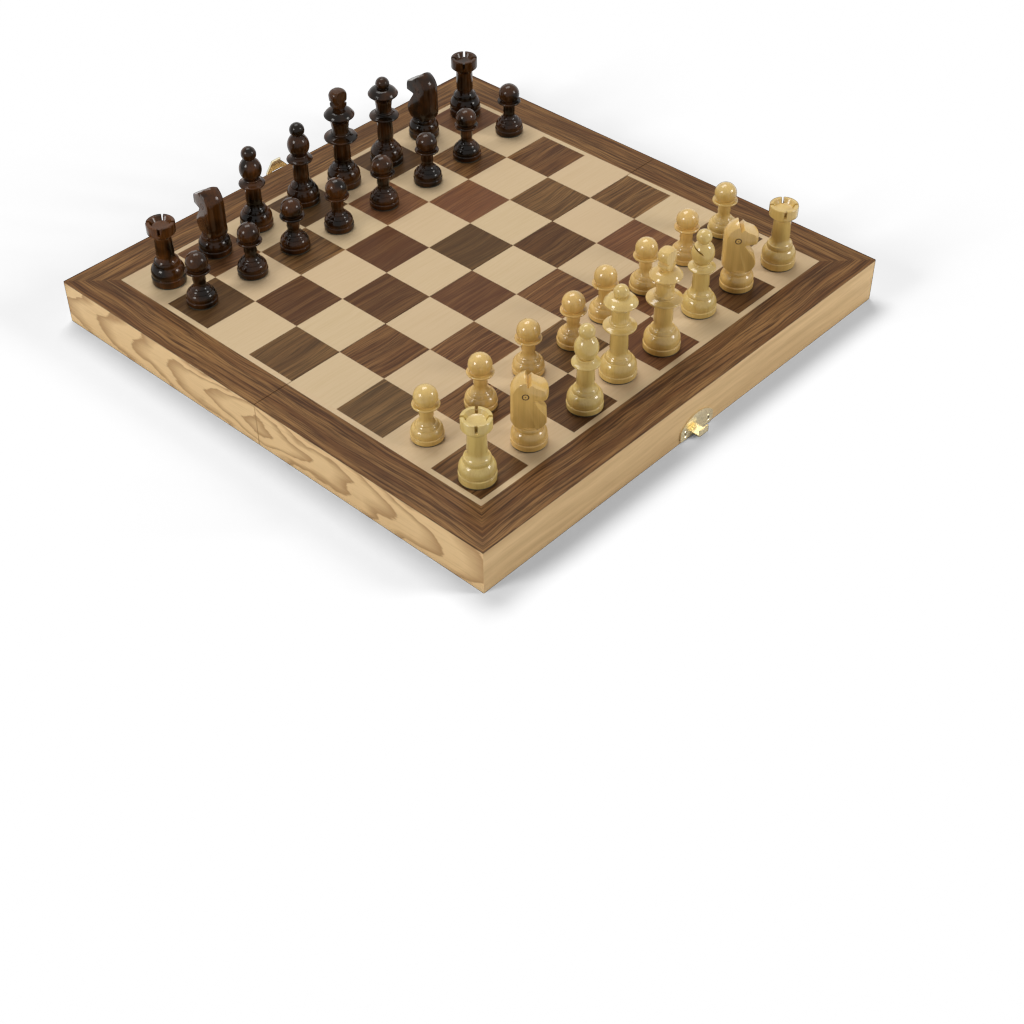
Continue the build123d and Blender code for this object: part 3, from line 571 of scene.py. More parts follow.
def cuboid(size, place=None):
    """A closed box of a size, moved and turned by a matrix."""
    mesh = bmesh.new()
    bmesh.ops.create_cube(mesh, size=1.0, matrix=(place or Matrix()) @ Matrix.Diagonal((*size, 1.0)))
    return mesh


def mesh_object(name, mesh):
    """Puts a working mesh into the scene as an object."""
    data = bpy.data.meshes.new(name)
    mesh.to_mesh(data)
    mesh.free()
    made = bpy.data.objects.new(name, data)
    bpy.context.scene.collection.objects.link(made)
    return made


def apply_modifiers(made):
    """Replaces an object's mesh by the one that its modifiers give."""
    evaluated = made.evaluated_get(bpy.context.evaluated_depsgraph_get())
    finished = bpy.data.meshes.new_from_object(evaluated)
    made.modifiers.clear()
    old = made.data
    made.data = finished
    bpy.data.meshes.remove(old)


def combine(made, tool, operation):
    """Cuts, joins or intersects an object with a working mesh."""
    cutter = mesh_object("cutter", tool)
    modifier = made.modifiers.new("cut", "BOOLEAN")
    modifier.operation = operation
    modifier.solver = "EXACT"
    modifier.object = cutter
    apply_modifiers(made)
    bpy.data.meshes.remove(cutter.data)


def bevel(made, width, segments=2):
    """Adds a rounding of an object's sharp edges."""
    modifier = made.modifiers.new("edges", "BEVEL")
    modifier.width = width
    modifier.segments = segments
    modifier.limit_method = "ANGLE"
    modifier.angle_limit = SMOOTH_TURN


def shade(data):
    """Smooth shading with real corners kept sharp."""
    work = bmesh.new()
    work.from_mesh(data)
    bmesh.ops.remove_doubles(work, verts=work.verts, dist=TINY)
    bmesh.ops.recalc_face_normals(work, faces=work.faces)
    for face in work.faces:
        face.smooth = True
    for edge in work.edges:
        edge.smooth = len(edge.link_faces) == 2 and edge.calc_face_angle(0.0) < SMOOTH_TURN
    work.to_mesh(data)
    work.free()


def foot(sizes):
    """The foot of every piece: a disc, a groove, a bulge, a shoulder line and a ring."""
    shared = settings().shared
    outline = Outline(sizes.base - shared.edge, shared.felt)
    outline.to(sizes.base, shared.felt + shared.edge)
    outline.to(sizes.base, sizes.disc_height - shared.edge)
    outline.to(sizes.base - shared.groove, sizes.disc_height)
    outline.curve(sizes.shoulder, sizes.shoulder_height, shared.bulge)
    outline.to(sizes.shoulder - shared.step, sizes.shoulder_height)
    outline.curve(sizes.ring, sizes.ring_height, shared.shoulder_bow)
    return outline.to(sizes.ring - shared.step, sizes.ring_height)


def waist(outline, radius, top):
    """A waist that hollows out above the foot and tapers up."""
    shared = settings().shared
    foot_top = outline.points[-1][1] + shared.waist_foot
    return outline.curve(radius + shared.waist_taper, foot_top, shared.waist_bow).to(radius, top)


def collar(outline, radius, height, inner, inner_height):
    """A flared disc with a rounded rim, whose top closes in to the next part."""
    shared = settings().shared
    outline.curve(radius, height - shared.rim / 2, shared.flare_bow)
    outline.curve(radius, height + shared.rim / 2, shared.rim_bow)
    return outline.curve(inner, inner_height, shared.cup_bow)


def crowned(sizes, dome):
    """The outline of a king or a queen, from its foot to the top of its dome."""
    shared = settings().shared
    brim = dome - sizes.dome_height
    neck = brim - sizes.neck_height
    bead = neck - sizes.bead_height
    rim = bead - shared.flare
    outline = waist(foot(sizes), sizes.waist, rim - shared.flare)
    collar(outline, sizes.collar, rim, sizes.bead, bead)
    outline.curve(sizes.neck, neck, shared.rim_bow)
    outline.curve(sizes.neck, brim - shared.cone, shared.cup_bow)
    outline.curve(sizes.crown, brim - shared.rim / 2, shared.waist_bow)
    outline.curve(sizes.crown, brim + shared.rim / 2, shared.rim_bow)
    return outline.curve(sizes.dome, dome, shared.bulge)


def ball_seat(top, radius, neck):
    """The height at which a neck meets the ball above it."""
    return top - radius - math.sqrt(radius**2 - neck**2)


def turned(name, outline):
    """An object turned from an outline."""
    shared = settings().shared
    return mesh_object(name, lathe(outline.eased(shared.ease), shared.segments))


def make_pawn():
    """Foot, waist, cupped collar and ball."""
    sizes, shared = settings().pawn, settings().shared
    seat = ball_seat(sizes.height, sizes.ball, sizes.neck)
    rim = seat - shared.rim / 2
    outline = waist(foot(sizes), sizes.waist, rim - shared.flare)
    collar(outline, sizes.collar, rim, sizes.neck, seat)
    return turned("pawn", outline.ball(sizes.ball, sizes.height))


def make_rook():
    """Foot, waist and a cup-shaped turret with a dished top and four saw cuts."""
    sizes, shared = settings().rook, settings().shared
    top = sizes.height
    rim = top - sizes.rim_height
    outline = waist(foot(sizes), sizes.waist, rim - sizes.cup_rise)
    outline.curve(sizes.cup, rim - shared.step, shared.flare_bow).to(sizes.cup, rim)
    outline.to(sizes.rim, rim + shared.edge).to(sizes.rim, top - shared.edge)
    outline.to(sizes.rim - shared.edge, top).to(sizes.hollow, top)
    outline.to(sizes.hollow_floor, top - sizes.hollow_depth).close()
    made = turned("rook", outline)
    reach = 2 * sizes.rim
    centre = (sizes.hollow_floor + reach) / 2
    for quarter in range(4):
        turn = Matrix.Rotation(math.pi / 2 * quarter, 4, "Z")
        place = turn @ Matrix.Translation((centre, 0, top))
        size = (reach - sizes.hollow_floor, sizes.notch, 2 * sizes.notch_depth)
        combine(made, cuboid(size, place), "DIFFERENCE")
    return made


def make_bishop():
    """Foot, waist, collar, bead and an egg-shaped mitre with a slanting saw cut under its ball."""
    sizes, shared = settings().bishop, settings().shared
    mitre_top = ball_seat(sizes.height, sizes.ball, sizes.mitre_top)
    neck = mitre_top - sizes.mitre_height
    bead = neck - sizes.bead_height
    rim = bead - shared.flare
    outline = waist(foot(sizes), sizes.waist, rim - shared.flare)
    collar(outline, sizes.collar, rim, sizes.bead, bead)
    outline.curve(sizes.neck, neck, shared.rim_bow).curve(sizes.mitre_top, mitre_top, sizes.mitre_bow)
    made = turned("bishop", outline.ball(sizes.ball, sizes.height))
    place = Matrix.Translation((sizes.kerf_reach, 0, sizes.height - sizes.kerf_below_top))
    place = place @ Matrix.Rotation(-sizes.kerf_slope, 4, "Y") @ Matrix.Translation((0, 0, sizes.kerf / 2))
    combine(made, cuboid((2 * sizes.kerf_depth, 2 * sizes.base, sizes.kerf), place), "DIFFERENCE")
    return made


def make_queen():
    """Foot, waist, wide collar, bead, flared crown, dome and ball."""
    sizes = settings().queen
    outline = crowned(sizes, ball_seat(sizes.height, sizes.ball, sizes.dome))
    return turned("queen", outline.ball(sizes.ball, sizes.height))


def make_cross(dome):
    """The king's finial: a turned knob sawn flat on two faces and notched on the other two."""
    sizes, shared = settings().king, settings().shared
    knob = Outline(sizes.dome, dome - shared.rim)
    knob.to(sizes.dome, dome)
    knob.curve(sizes.cross_foot, dome + sizes.cross_foot_height, shared.flare_bow)
    knob.to(sizes.cross_radius, sizes.height - 2 * sizes.cross_dome)
    knob.curve(sizes.cross_radius - sizes.cross_dome, sizes.height - shared.edge, shared.bulge)
    knob.to(0.0, sizes.height)
    made = turned("cross", knob)
    width = 4 * sizes.cross_radius
    combine(made, cuboid((width, sizes.slab, 4 * sizes.height)), "INTERSECT")
    middle = dome + sizes.notch_middle
    tip = sizes.cross_radius - sizes.notch_depth
    mouth = 2 * sizes.cross_radius
    opening = sizes.notch_height / 2 * (mouth - tip) / sizes.notch_depth
    for side in (-1, 1):
        corners = [(side * tip, middle), (side * mouth, middle - opening), (side * mouth, middle + opening)]
        combine(made, prism(corners, 2 * sizes.slab), "DIFFERENCE")
    bevel(made, shared.ease)
    apply_modifiers(made)
    return made


def make_king():
    """Foot, waist, wide collar, bead, flared crown, dome and cross."""
    sizes = settings().king
    dome = sizes.height - sizes.cross_height
    made = turned("king", crowned(sizes, dome).close())
    top = make_cross(dome)
    work = bmesh.new()
    work.from_mesh(top.data)
    bpy.data.meshes.remove(top.data)
    combine(made, work, "UNION")
    return made


def make_knight():
    """Turned foot under a horse's head cut from a domed blank with two flat sides, facing +X."""
    sizes, shared = settings().knight, settings().shared
    top = sizes.height
    bottom = sizes.ring_height + shared.step
    base = foot(sizes).to(sizes.ring - shared.step, bottom + shared.step).close()
    blank = Outline(sizes.blank_foot, bottom).curve(sizes.blank, bottom + sizes.blank_rise, shared.bulge)
    blank.to(sizes.blank, top - sizes.dome_height).curve(sizes.dome_top, top, shared.bulge).close()
    made = turned("knight", blank)
    nose = top - sizes.nose_below_top
    mouth = top - sizes.mouth_below_top
    chest = top - sizes.chest_below_top
    over_head = 2 * top
    side = [
        (-sizes.back, 0),
        (-sizes.back, over_head),
        (-sizes.ear, over_head),
        (-sizes.ear, top),
        (-sizes.ear_root, nose),
        (sizes.forelock, nose + sizes.mouth_height + shared.step),
        (sizes.mouth, nose + shared.step),
        (sizes.nose, nose - sizes.nose_slope),
        (sizes.nose, mouth - shared.step),
        (sizes.mouth, mouth - sizes.mouth_height),
        (sizes.mouth, mouth - 2 * sizes.mouth_height),
        (sizes.chest, chest),
        (sizes.chest, 0),
    ]
    combine(made, prism(side, sizes.slab), "INTERSECT")
    bevel(made, 2 * shared.ease, 3)
    apply_modifiers(made)
    eye = (-sizes.eye_back, top - sizes.eye_below_top)
    corner = (sizes.mouth, mouth - 1.5 * sizes.mouth_height)
    for face in (-1, 1):
        combine(made, ring_tool(sizes.eye, sizes.scribe, eye, face * sizes.slab / 2), "DIFFERENCE")
        for radius, (x, z) in ((sizes.scribe, eye), (sizes.nostril, corner)):
            dot = bmesh.new()
            place = Matrix.Translation((x, face * sizes.slab / 2, z))
            bmesh.ops.create_uvsphere(dot, u_segments=20, v_segments=10, radius=radius, matrix=place)
            combine(made, dot, "DIFFERENCE")
    combine(made, lathe(base.eased(shared.ease), shared.segments), "UNION")
    # Painted shade in the bottom of the eye's scribed ring and its dot
    mark_groove_shade_faces(made.data, eye, sizes)
    return made


def mark_groove_shade_faces(data, eye, sizes):
    """Gives the bottom of the eye's scribed lines their own material."""
    reach = sizes.eye + 2 * sizes.scribe
    for face in data.polygons:
        depth = sizes.slab / 2 - abs(face.center.y)
        near_eye = math.hypot(face.center.x - eye[0], face.center.z - eye[1]) < reach
        if near_eye and SCRIBE_DEPTH < depth < sizes.slab / 4:
            face.material_index = GROOVE_SHADE_INDEX


def ring_tool(radius, thickness, centre, depth):
    """A torus that scribes a circle into a flat side."""
    mesh = bmesh.new()
    around, across = 48, 10
    rows = []
    for index in range(around):
        turn = 2 * math.pi * index / around
        row = []
        for step in range(across):
            roll = 2 * math.pi * step / across
            reach = radius + thickness * math.cos(roll)
            place = (
                centre[0] + reach * math.cos(turn),
                depth + thickness * math.sin(roll),
                centre[1] + reach * math.sin(turn),
            )
            row.append(mesh.verts.new(place))
        rows.append(row)
    for index, row in enumerate(rows):
        following = rows[(index + 1) % around]
        for step in range(across):
            after = (step + 1) % across
            mesh.faces.new([row[step], row[after], following[after], following[step]])
    bmesh.ops.recalc_face_normals(mesh, faces=mesh.faces)
    return mesh


def add_felt(made, base):
    """The felt disc under a piece, as the object's second material."""
    shared = settings().shared
    radius = base - shared.felt_inset
    felt = lathe([(0, 0), (radius, 0), (radius, shared.felt), (0, shared.felt)], shared.segments)
    for face in felt.faces:
        face.material_index = FELT_INDEX
    felt.from_mesh(made.data)
    felt.to_mesh(made.data)
    felt.free()


# Materials


class Shader:
    """The node tree of a material or a world, built by short calls that give back sockets."""

    def __init__(self, owner):
        self.owner = owner
        owner.use_nodes = True
        self.tree = owner.node_tree
        self.tree.nodes.clear()

    def add(self, kind, inputs=None, output=0, **options):
        """Adds a node, sets its options and inputs, and gives one of its outputs."""
        node = self.tree.nodes.new("ShaderNode" + kind)
        for key, value in options.items():
            setattr(node, key, value)
        for key, value in (inputs or {}).items():
            if isinstance(value, bpy.types.NodeSocket):
                self.tree.links.new(value, node.inputs[key])
            else:
                node.inputs[key].default_value = value
        return node.outputs[output] if node.outputs else None

    def math(self, operation, *values):
        """A sum on one, two or three values."""
        return self.add("Math", dict(enumerate(values)), operation=operation)

    def vector(self, x, y, z):
        """A vector from three values."""
        return self.add("CombineXYZ", {0: x, 1: y, 2: z})

    def noise(self, vector, detail=2.0, roughness=0.5, scale=1.0):
        """Smooth noise from 0 to 1."""
        inputs = {"Vector": vector, "Scale": scale, "Detail": detail, "Roughness": roughness}
        return self.add("TexNoise", inputs)

    def span(self, value, low, high, new_low=0.0, new_high=1.0):
        """Maps a range of a value to a new range and clamps it."""
        inputs = {"Value": value, "From Min": low, "From Max": high, "To Min": new_low, "To Max": new_high}
        return self.add("MapRange", inputs)

    def blend(self, share, first, second):
        """Mixes two colours."""
        node = self.tree.nodes.new("ShaderNodeMix")
        node.data_type = "RGBA"
        for socket, value in ((node.inputs[0], share), (node.inputs[6], first), (node.inputs[7], second)):
            if isinstance(value, bpy.types.NodeSocket):
                self.tree.links.new(value, socket)
            elif hasattr(value, "__len__"):
                socket.default_value = (*value[:3], 1.0)
            else:
                socket.default_value = value
        return node.outputs[2]

    def over(self, below, above, value, start, full, share=1.0):
        """Lays one colour over another, from none at a value's start to a share of it where it is full."""
        return self.blend(self.span(value, start, full, 0.0, share), below, above)

    def pick(self, share, first, second):
        """Mixes two plain values."""
        difference = self.math("SUBTRACT", second, first)
        return self.math("MULTIPLY_ADD", difference, share, first)

    def stretched(self, values, rates):
        """A vector from three values, each times its rate."""
        return self.vector(*(self.math("MULTIPLY", value, rate) for value, rate in zip(values, rates)))

    def split(self, vector, kind="SeparateXYZ"):
        """The three parts of a vector or a colour."""
        node = self.tree.nodes.new("ShaderNode" + kind)
        self.tree.links.new(vector, node.inputs[0])
        return node.outputs[0], node.outputs[1], node.outputs[2]

    def millimetres(self):
        """The x, y and z of a point in the object's own frame, in millimetres."""
        place = self.add("TexCoord", output="Object")
        return self.split(self.add("VectorMath", {0: place, "Scale": 1 / MM}, operation="SCALE"))

    def facing(self):
        """The x, y and z of the surface's own direction, in the object's own frame."""
        return self.split(self.add("TexCoord", output="Normal"))

    def attribute(self, name):
        """A number kept on the object."""
        return self.add("Attribute", output="Fac", attribute_name=name, attribute_type="OBJECT")

    def bump(self, height, strength, distance):
        """A shallow relief."""
        return self.add("Bump", {"Height": height, "Strength": strength, "Distance": distance})

    def finish(self, inputs):
        """Closes a material's tree with a principled surface and gives the material."""
        surface = self.add("BsdfPrincipled", inputs)
        self.add("OutputMaterial", {"Surface": surface})
        return self.owner


def new_finish(name):
    """The empty node tree of a new material."""
    return Shader(bpy.data.materials.new(FINISH + name))


def grain(shader, place, layers, wander=WANDER):
    """Layers of wood grain at a place along, across and into the wood, in millimetres."""
    along, across, depth = place
    drift = shader.math("SUBTRACT", shader.noise(shader.stretched(place, DRIFT_RATE)), 0.5)
    bent = (along, shader.math("MULTIPLY_ADD", drift, wander, across), depth)
    return [shader.noise(shader.stretched(bent, rates), detail, rough) for rates, detail, rough in layers]


def plank_of_square(shader):
    """A place in the plank that a point's square was cut from, and two random values for the square."""
    x, y, z = shader.millimetres()
    from_corner = [shader.math("ADD", value, FIELD_HALF) for value in (x, y)]
    cell = [shader.math("FLOOR", shader.math("DIVIDE", value, SQUARE)) for value in from_corner]
    hashed = shader.add("TexWhiteNoise", {"Vector": shader.vector(*cell, 3.0)}, output="Color")
    first, second, third = shader.split(hashed, "SeparateColor")
    along = shader.math("MULTIPLY_ADD", first, SQUARE_JUMP[0], x)
    across = shader.math("MULTIPLY_ADD", second, SQUARE_JUMP[1], y)
    return (along, across, z), second, third


def plank_of_piece(shader):
    """A place in the plank that a piece was turned from, its grain upright."""
    x, y, z = shader.millimetres()
    seed = shader.math("MULTIPLY", shader.attribute("seed"), PIECE_JUMP)
    return z, shader.math("ADD", x, seed), shader.math("ADD", y, seed)


def walnut_colour(shader, figure, fibre, pores):
    """Walnut's colour from its grain."""
    looks = settings().looks
    body = shader.over(looks.walnut_mid, looks.walnut_pale, figure, 0.40, 0.60)
    streaked = shader.over(body, looks.walnut_dark, fibre, 0.58, 0.40, 0.9)
    return shader.over(streaked, looks.walnut_dark, pores, 0.66, 0.76, 0.8)


def lacquered(shader, base, relief, roughness, coat=0.12):
    """A satin lacquered surface."""
    return shader.finish({
        "Base Color": base,
        "Roughness": roughness + UNDERCOAT,
        "Normal": shader.bump(relief, 0.25, 0.06 * MM),
        "Coat Weight": coat,
        "Coat Roughness": roughness,
        "Coat IOR": 1.45,
        "Specular IOR Level": 0.06,
    })


def walnut_border():
    """Walnut strips whose grain follows the nearest edge."""
    shader = new_finish("walnut_border")
    x, y, z = shader.millimetres()
    end = shader.math("GREATER_THAN", shader.math("ABSOLUTE", x), shader.math("ABSOLUTE", y))
    place = (shader.pick(end, x, y), shader.pick(end, y, x), z)
    figure, fibre, pores = grain(shader, place, (FIGURE, FIBRE, PORES))
    return lacquered(shader, walnut_colour(shader, figure, fibre, pores), fibre, settings().looks.satin)


def walnut_squares():
    """Walnut squares, each from its own piece of veneer."""
    shader = new_finish("walnut_squares")
    looks = settings().looks
    place, second, third = plank_of_square(shader)
    figure, fibre, pores = grain(shader, place, (FIGURE, FIBRE, PORES), SQUARE_WANDER)
    body = walnut_colour(shader, figure, fibre, pores)
    cool = shader.over(body, looks.walnut_cool, third, 0.45, 1.0, 0.55)
    red = shader.over(cool, looks.walnut_red, third, 0.45, 0.0, 0.5)
    deep = shader.over(red, looks.walnut_dark, second, 0.2, 1.0, 0.55)
    return lacquered(shader, deep, fibre, looks.satin)


def maple_inlay():
    """Light squares and stringing, with faint flecks and a little change from square to square."""
    shader = new_finish("maple_inlay")
    looks = settings().looks
    place, _, third = plank_of_square(shader)
    fibre, pores = grain(shader, place, (FIBRE, PORES))
    body = shader.over(looks.maple, looks.maple_grain, fibre, 0.42, 0.72, 0.45)
    flecked = shader.over(body, looks.maple_grain, pores, 0.66, 0.78, 0.5)
    tinted = shader.over(flecked, looks.maple_warm, third, 0.0, 1.0, 0.28)
    return lacquered(shader, tinted, fibre, looks.satin)


def arched_rings(shader, ends, along, fibre):
    """Where a point lies between two arched rings of an end wall, from 0 to 1."""
    _, y, z = shader.millimetres()
    shift = shader.math("MULTIPLY", ends, shader.math("MULTIPLY", shader.math("SIGN", y), ARCH_SHIFT))
    from_middle = shader.math("ABSOLUTE", shader.math("ADD", along, shift))
    from_arch = shader.math("MULTIPLY", shader.math("SUBTRACT", from_middle, ARCH_PLACE), ARCH_FLATNESS)
    waver = shader.noise(shader.stretched((along, z, WAVER_SLICE), WAVER_RATE), 3.0)
    rise = shader.math("SUBTRACT", z, ARCH_HEIGHT)
    high = shader.math("MULTIPLY_ADD", shader.math("SUBTRACT", waver, 0.5), ARCH_WAVER, rise)
    squares = [shader.math("POWER", value, 2.0) for value in (high, from_arch)]
    rings = shader.math("MULTIPLY", shader.math("SQRT", shader.math("ADD", *squares)), RING_RATE)
    return shader.math("FRACT", shader.math("MULTIPLY_ADD", fibre, RING_FRAY, rings))


def case_wood():
    """Pale case wood: a plain face on the long walls and arched late wood on the end walls."""
    shader = new_finish("case_wood")
    looks = settings().looks
    x, y, z = shader.millimetres()
    ends = shader.math("GREATER_THAN", shader.math("ABSOLUTE", shader.facing()[0]), 0.5)
    along = shader.pick(ends, x, y)
    place = (along, z, shader.pick(ends, y, x))
    figure, fibre, pores = grain(shader, place, (FIGURE, FIBRE, PORES))
    rings = arched_rings(shader, ends, along, fibre)
    late = shader.math("MULTIPLY", shader.span(rings, 0.45, 0.95, 0.0, 0.75), shader.span(rings, 1.0, 0.95))
    plain = shader.span(figure, 0.35, 0.70, 0.0, 0.35)
    body = shader.blend(shader.pick(ends, plain, late), looks.pine, looks.pine_grain)
    streaked = shader.over(body, looks.pine_grain, fibre, 0.52, 0.75, 0.35)
    flecked = shader.over(streaked, looks.pine_grain, pores, 0.68, 0.78, 0.55)
    return lacquered(shader, flecked, fibre, looks.satin + CASE_ROUGHER, coat=0.25)


def plywood():
    """Unfinished plywood of the covered panels."""
    shader = new_finish("plywood")
    looks = settings().looks
    (fibre,) = grain(shader, shader.millimetres(), (FIBRE,))
    body = shader.over(looks.plywood, looks.pine_grain, fibre, 0.4, 0.7, 0.5)
    return shader.finish({"Base Color": body, "Roughness": 0.7})


def boxwood():
    """Glossy pale wood whose warmth is kept on each piece."""
    shader = new_finish("boxwood")
    looks = settings().looks
    figure, fibre, pores = grain(shader, plank_of_piece(shader), (FIGURE, FIBRE, PORES), PIECE_WANDER)
    body = shader.blend(shader.attribute("warmth"), looks.box_pale, looks.box_warm)
    clouded = shader.over(body, looks.box_grain, figure, 0.35, 0.68, 0.38)
    streaked = shader.over(clouded, looks.box_grain, fibre, 0.50, 0.72, 0.42)
    flecked = shader.over(streaked, looks.box_grain, pores, 0.68, 0.76, 0.4)
    return shader.finish({
        "Base Color": flecked,
        "Roughness": 0.42,
        "Normal": shader.bump(fibre, 0.12, 0.05 * MM),
        "Coat Weight": 1.0,
        "Coat Roughness": looks.gloss,
        "Coat IOR": 1.46,
        "Specular IOR Level": 0.1,
    })


def stained_wood():
    """Dark gloss stain that lets the wood glow amber where it is thin."""
    shader = new_finish("stained_wood")
    looks = settings().looks
    along, across, depth = plank_of_piece(shader)
    (fibre,) = grain(shader, (along, across, depth), (FIBRE,), PIECE_WANDER)
    patch = shader.noise(shader.stretched((across, shader.millimetres()[1], along), PATCH_RATE), 1.0)
    thin = shader.math("MULTIPLY", shader.span(patch, 0.36, 0.60), shader.span(fibre, 0.35, 0.65, 0.45, 1.0))
    glow = shader.math("MULTIPLY", thin, shader.math("MULTIPLY_ADD", shader.attribute("warmth"), 0.6, 0.4))
    body = shader.blend(glow, looks.stain, looks.amber)
    return shader.finish({
        "Base Color": body,
        "Roughness": 0.35,
        "Normal": shader.bump(fibre, 0.10, 0.04 * MM),
        "Coat Weight": 1.0,
        "Coat Roughness": looks.gloss,
        "Coat IOR": 1.29,
        "Specular IOR Level": 0.0,
    })


def painted_groove_shade():
    """The burnt-brown bottom of a scribed line."""
    shader = new_finish("painted_groove_shade")
    return shader.finish({"Base Color": (*settings().looks.scribed, 1.0), "Roughness": 0.6})


def felt_cloth(name, tone):
    """Short matt felt."""
    shader = new_finish(name)
    fuzz = shader.noise(shader.vector(*shader.millimetres()), detail=4.0, roughness=0.7, scale=3.0)
    tips = [min(1.0, 1.7 * channel) for channel in tone]
    body = shader.over(tone, tips, fuzz, 0.3, 0.7)
    return shader.finish({
        "Base Color": body,
        "Roughness": 0.95,
        "Sheen Weight": 0.25,
        "Sheen Roughness": 0.5,
        "Normal": shader.bump(fuzz, 0.5, 0.2 * MM),
    })


def metal(name, tone, roughness):
    """Plated or rolled metal with faint wear."""
    shader = new_finish(name)
    wear = shader.noise(shader.vector(*shader.millimetres()), detail=4.0, roughness=0.6, scale=0.45)
    polished, worn = 0.85 * roughness, 1.2 * roughness
    return shader.finish({
        "Base Color": (*tone, 1.0),
        "Metallic": 1.0,
        "Roughness": shader.span(wear, 0.3, 0.7, polished, worn),
    })


def give(node, finish):
    """Gives a CAD node one finish."""
    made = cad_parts[node]
    made.data.materials.clear()
    made.data.materials.append(material(finish))
    return made


def give_both(finishes):
    """Finishes the near and the far node of each name."""
    for name, finish in finishes.items():
        for half in ("near_", "far_"):
            give(half + name, finish)


def set_pieces(kind, make):
    """Builds one kind of piece once and stands a copy on every square that has one."""
    sizes = getattr(settings(), kind)
    model = make()
    while len(model.data.materials) <= GROOVE_SHADE_INDEX:
        model.data.materials.append(None)
    add_felt(model, sizes.base)
    shade(model.data)
    woods = {"light": "boxwood", "dark": "stained_wood"}
    meshes = {}
    for tone, wood in woods.items():
        meshes[tone] = model.data.copy()
        # The third material is painted shade in the bottom of a knight's eye groove
        for index, finish in enumerate((wood, "base_felt", "painted_groove_shade")):
            meshes[tone].materials[index] = material(finish)
    for tone, node in nodes_of(kind):
        low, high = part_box(node)
        turn = PIECE_TURN.get(node, ROOK_TURN if kind == "rook" else 0)
        place = Matrix.Translation(((low.x + high.x) / 2, (low.y + high.y) / 2, low.z))
        piece = bpy.data.objects.new("turned_" + node, meshes[tone])
        bpy.context.scene.collection.objects.link(piece)
        piece.matrix_world = place @ Matrix.Rotation(math.radians(turn), 4, "Z")
        dice = random.Random(node)
        piece["seed"] = dice.random()
        piece["warmth"] = LIGHT_WARMTH.get(node, dice.random())
        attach(piece, node)
        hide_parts(node)
    bpy.data.meshes.remove(model.data)


def material(name):
    """A material of the set, made the first time that it is asked for."""
    if FINISH + name in bpy.data.materials:
        return bpy.data.materials[FINISH + name]
    looks = settings().looks
    makers = {
        "boxwood": boxwood,
        "stained_wood": stained_wood,
        "walnut_border": walnut_border,
        "walnut_squares": walnut_squares,
        "maple_inlay": maple_inlay,
        "case_wood": case_wood,
        "plywood": plywood,
        "painted_groove_shade": painted_groove_shade,
        "base_felt": lambda: felt_cloth("base_felt", looks.felt),
        "lining_felt": lambda: felt_cloth("lining_felt", looks.lining),
        "brass": lambda: metal("brass", looks.brass, roughness=0.27),
        # The recess finish is painted shade: a dark metal inside a screw's cross recess
        "recess": lambda: metal("recess", looks.recess, roughness=0.5),
        "steel": lambda: metal("steel", looks.steel, roughness=0.4),
    }
    return makers[name]()


class CHESS_OT_case(bpy.types.Operator):
    """Finish the case walls, panels, lining and steel sheets"""

    bl_idname = "chess_set.case"
    bl_label = "Case"

    def execute(self, context):
        give_both({
            "clasp_wall": "case_wood",
            "fold_wall": "case_wood",
            "end_walls": "case_wood",
            "panel": "plywood",
            "steel_sheet": "steel",
            "felt_lining": "lining_felt",
        })
        return {"FINISHED"}


class CHESS_OT_inlay(bpy.types.Operator):
    """Finish the border, the stringing and the squares"""

    bl_idname = "chess_set.inlay"
    bl_label = "Inlay"

    def execute(self, context):
        give_both({
            "border": "walnut_border",
            "light_inlay": "maple_inlay",
            "dark_squares": "walnut_squares",
        })
        return {"FINISHED"}


class CHESS_OT_hardware(bpy.types.Operator):
    """Finish the hinges and the clasp"""

    bl_idname = "chess_set.hardware"
    bl_label = "Hinges and clasp"

    def execute(self, context):
        leaves = ["near_hinge_leaves", "far_hinge_leaves"]
        for node in leaves + ["hinge_pins", "hook_plate", "hasp_plate", "hasp_pin", "hasp"]:
            made = give(node, "brass")
            weld = made.modifiers.new("weld", "WELD")
            weld.merge_threshold = 0.002 * MM
            bevel(made, width=0.12 * MM)
        return {"FINISHED"}


def make_screw():
    """A countersunk screw with a cross recess, its head's face at z = 0."""
    sizes, shared = settings().screw, settings().shared
    rim = sizes.head - sizes.gap
    outline = Outline(0.0, -sizes.reach)
    outline.to(sizes.shank, sizes.shank - sizes.reach).to(sizes.shank, -sizes.depth)
    outline.to(rim, -sizes.gap).to(rim, -shared.ease).to(rim - shared.ease, 0).close()
    made = mesh_object("screw", lathe(outline.points[1:], shared.segments // 2))
    for turn in (math.pi / 4, -math.pi / 4):
        bar = cuboid((2 * sizes.slot_reach, sizes.slot, 2 * sizes.slot_depth), Matrix.Rotation(turn, 4, "Z"))
        combine(made, bar, "DIFFERENCE")
    # Faces inside the cross recess get the darker metal, as painted shade
    for face in made.data.polygons:
        inside = math.hypot(face.center.x, face.center.y) < sizes.slot_reach + shared.ease
        if inside and -sizes.slot_depth - shared.ease < face.center.z < -SCRIBE_DEPTH:
            face.material_index = RECESS_SHADE_INDEX
    return made


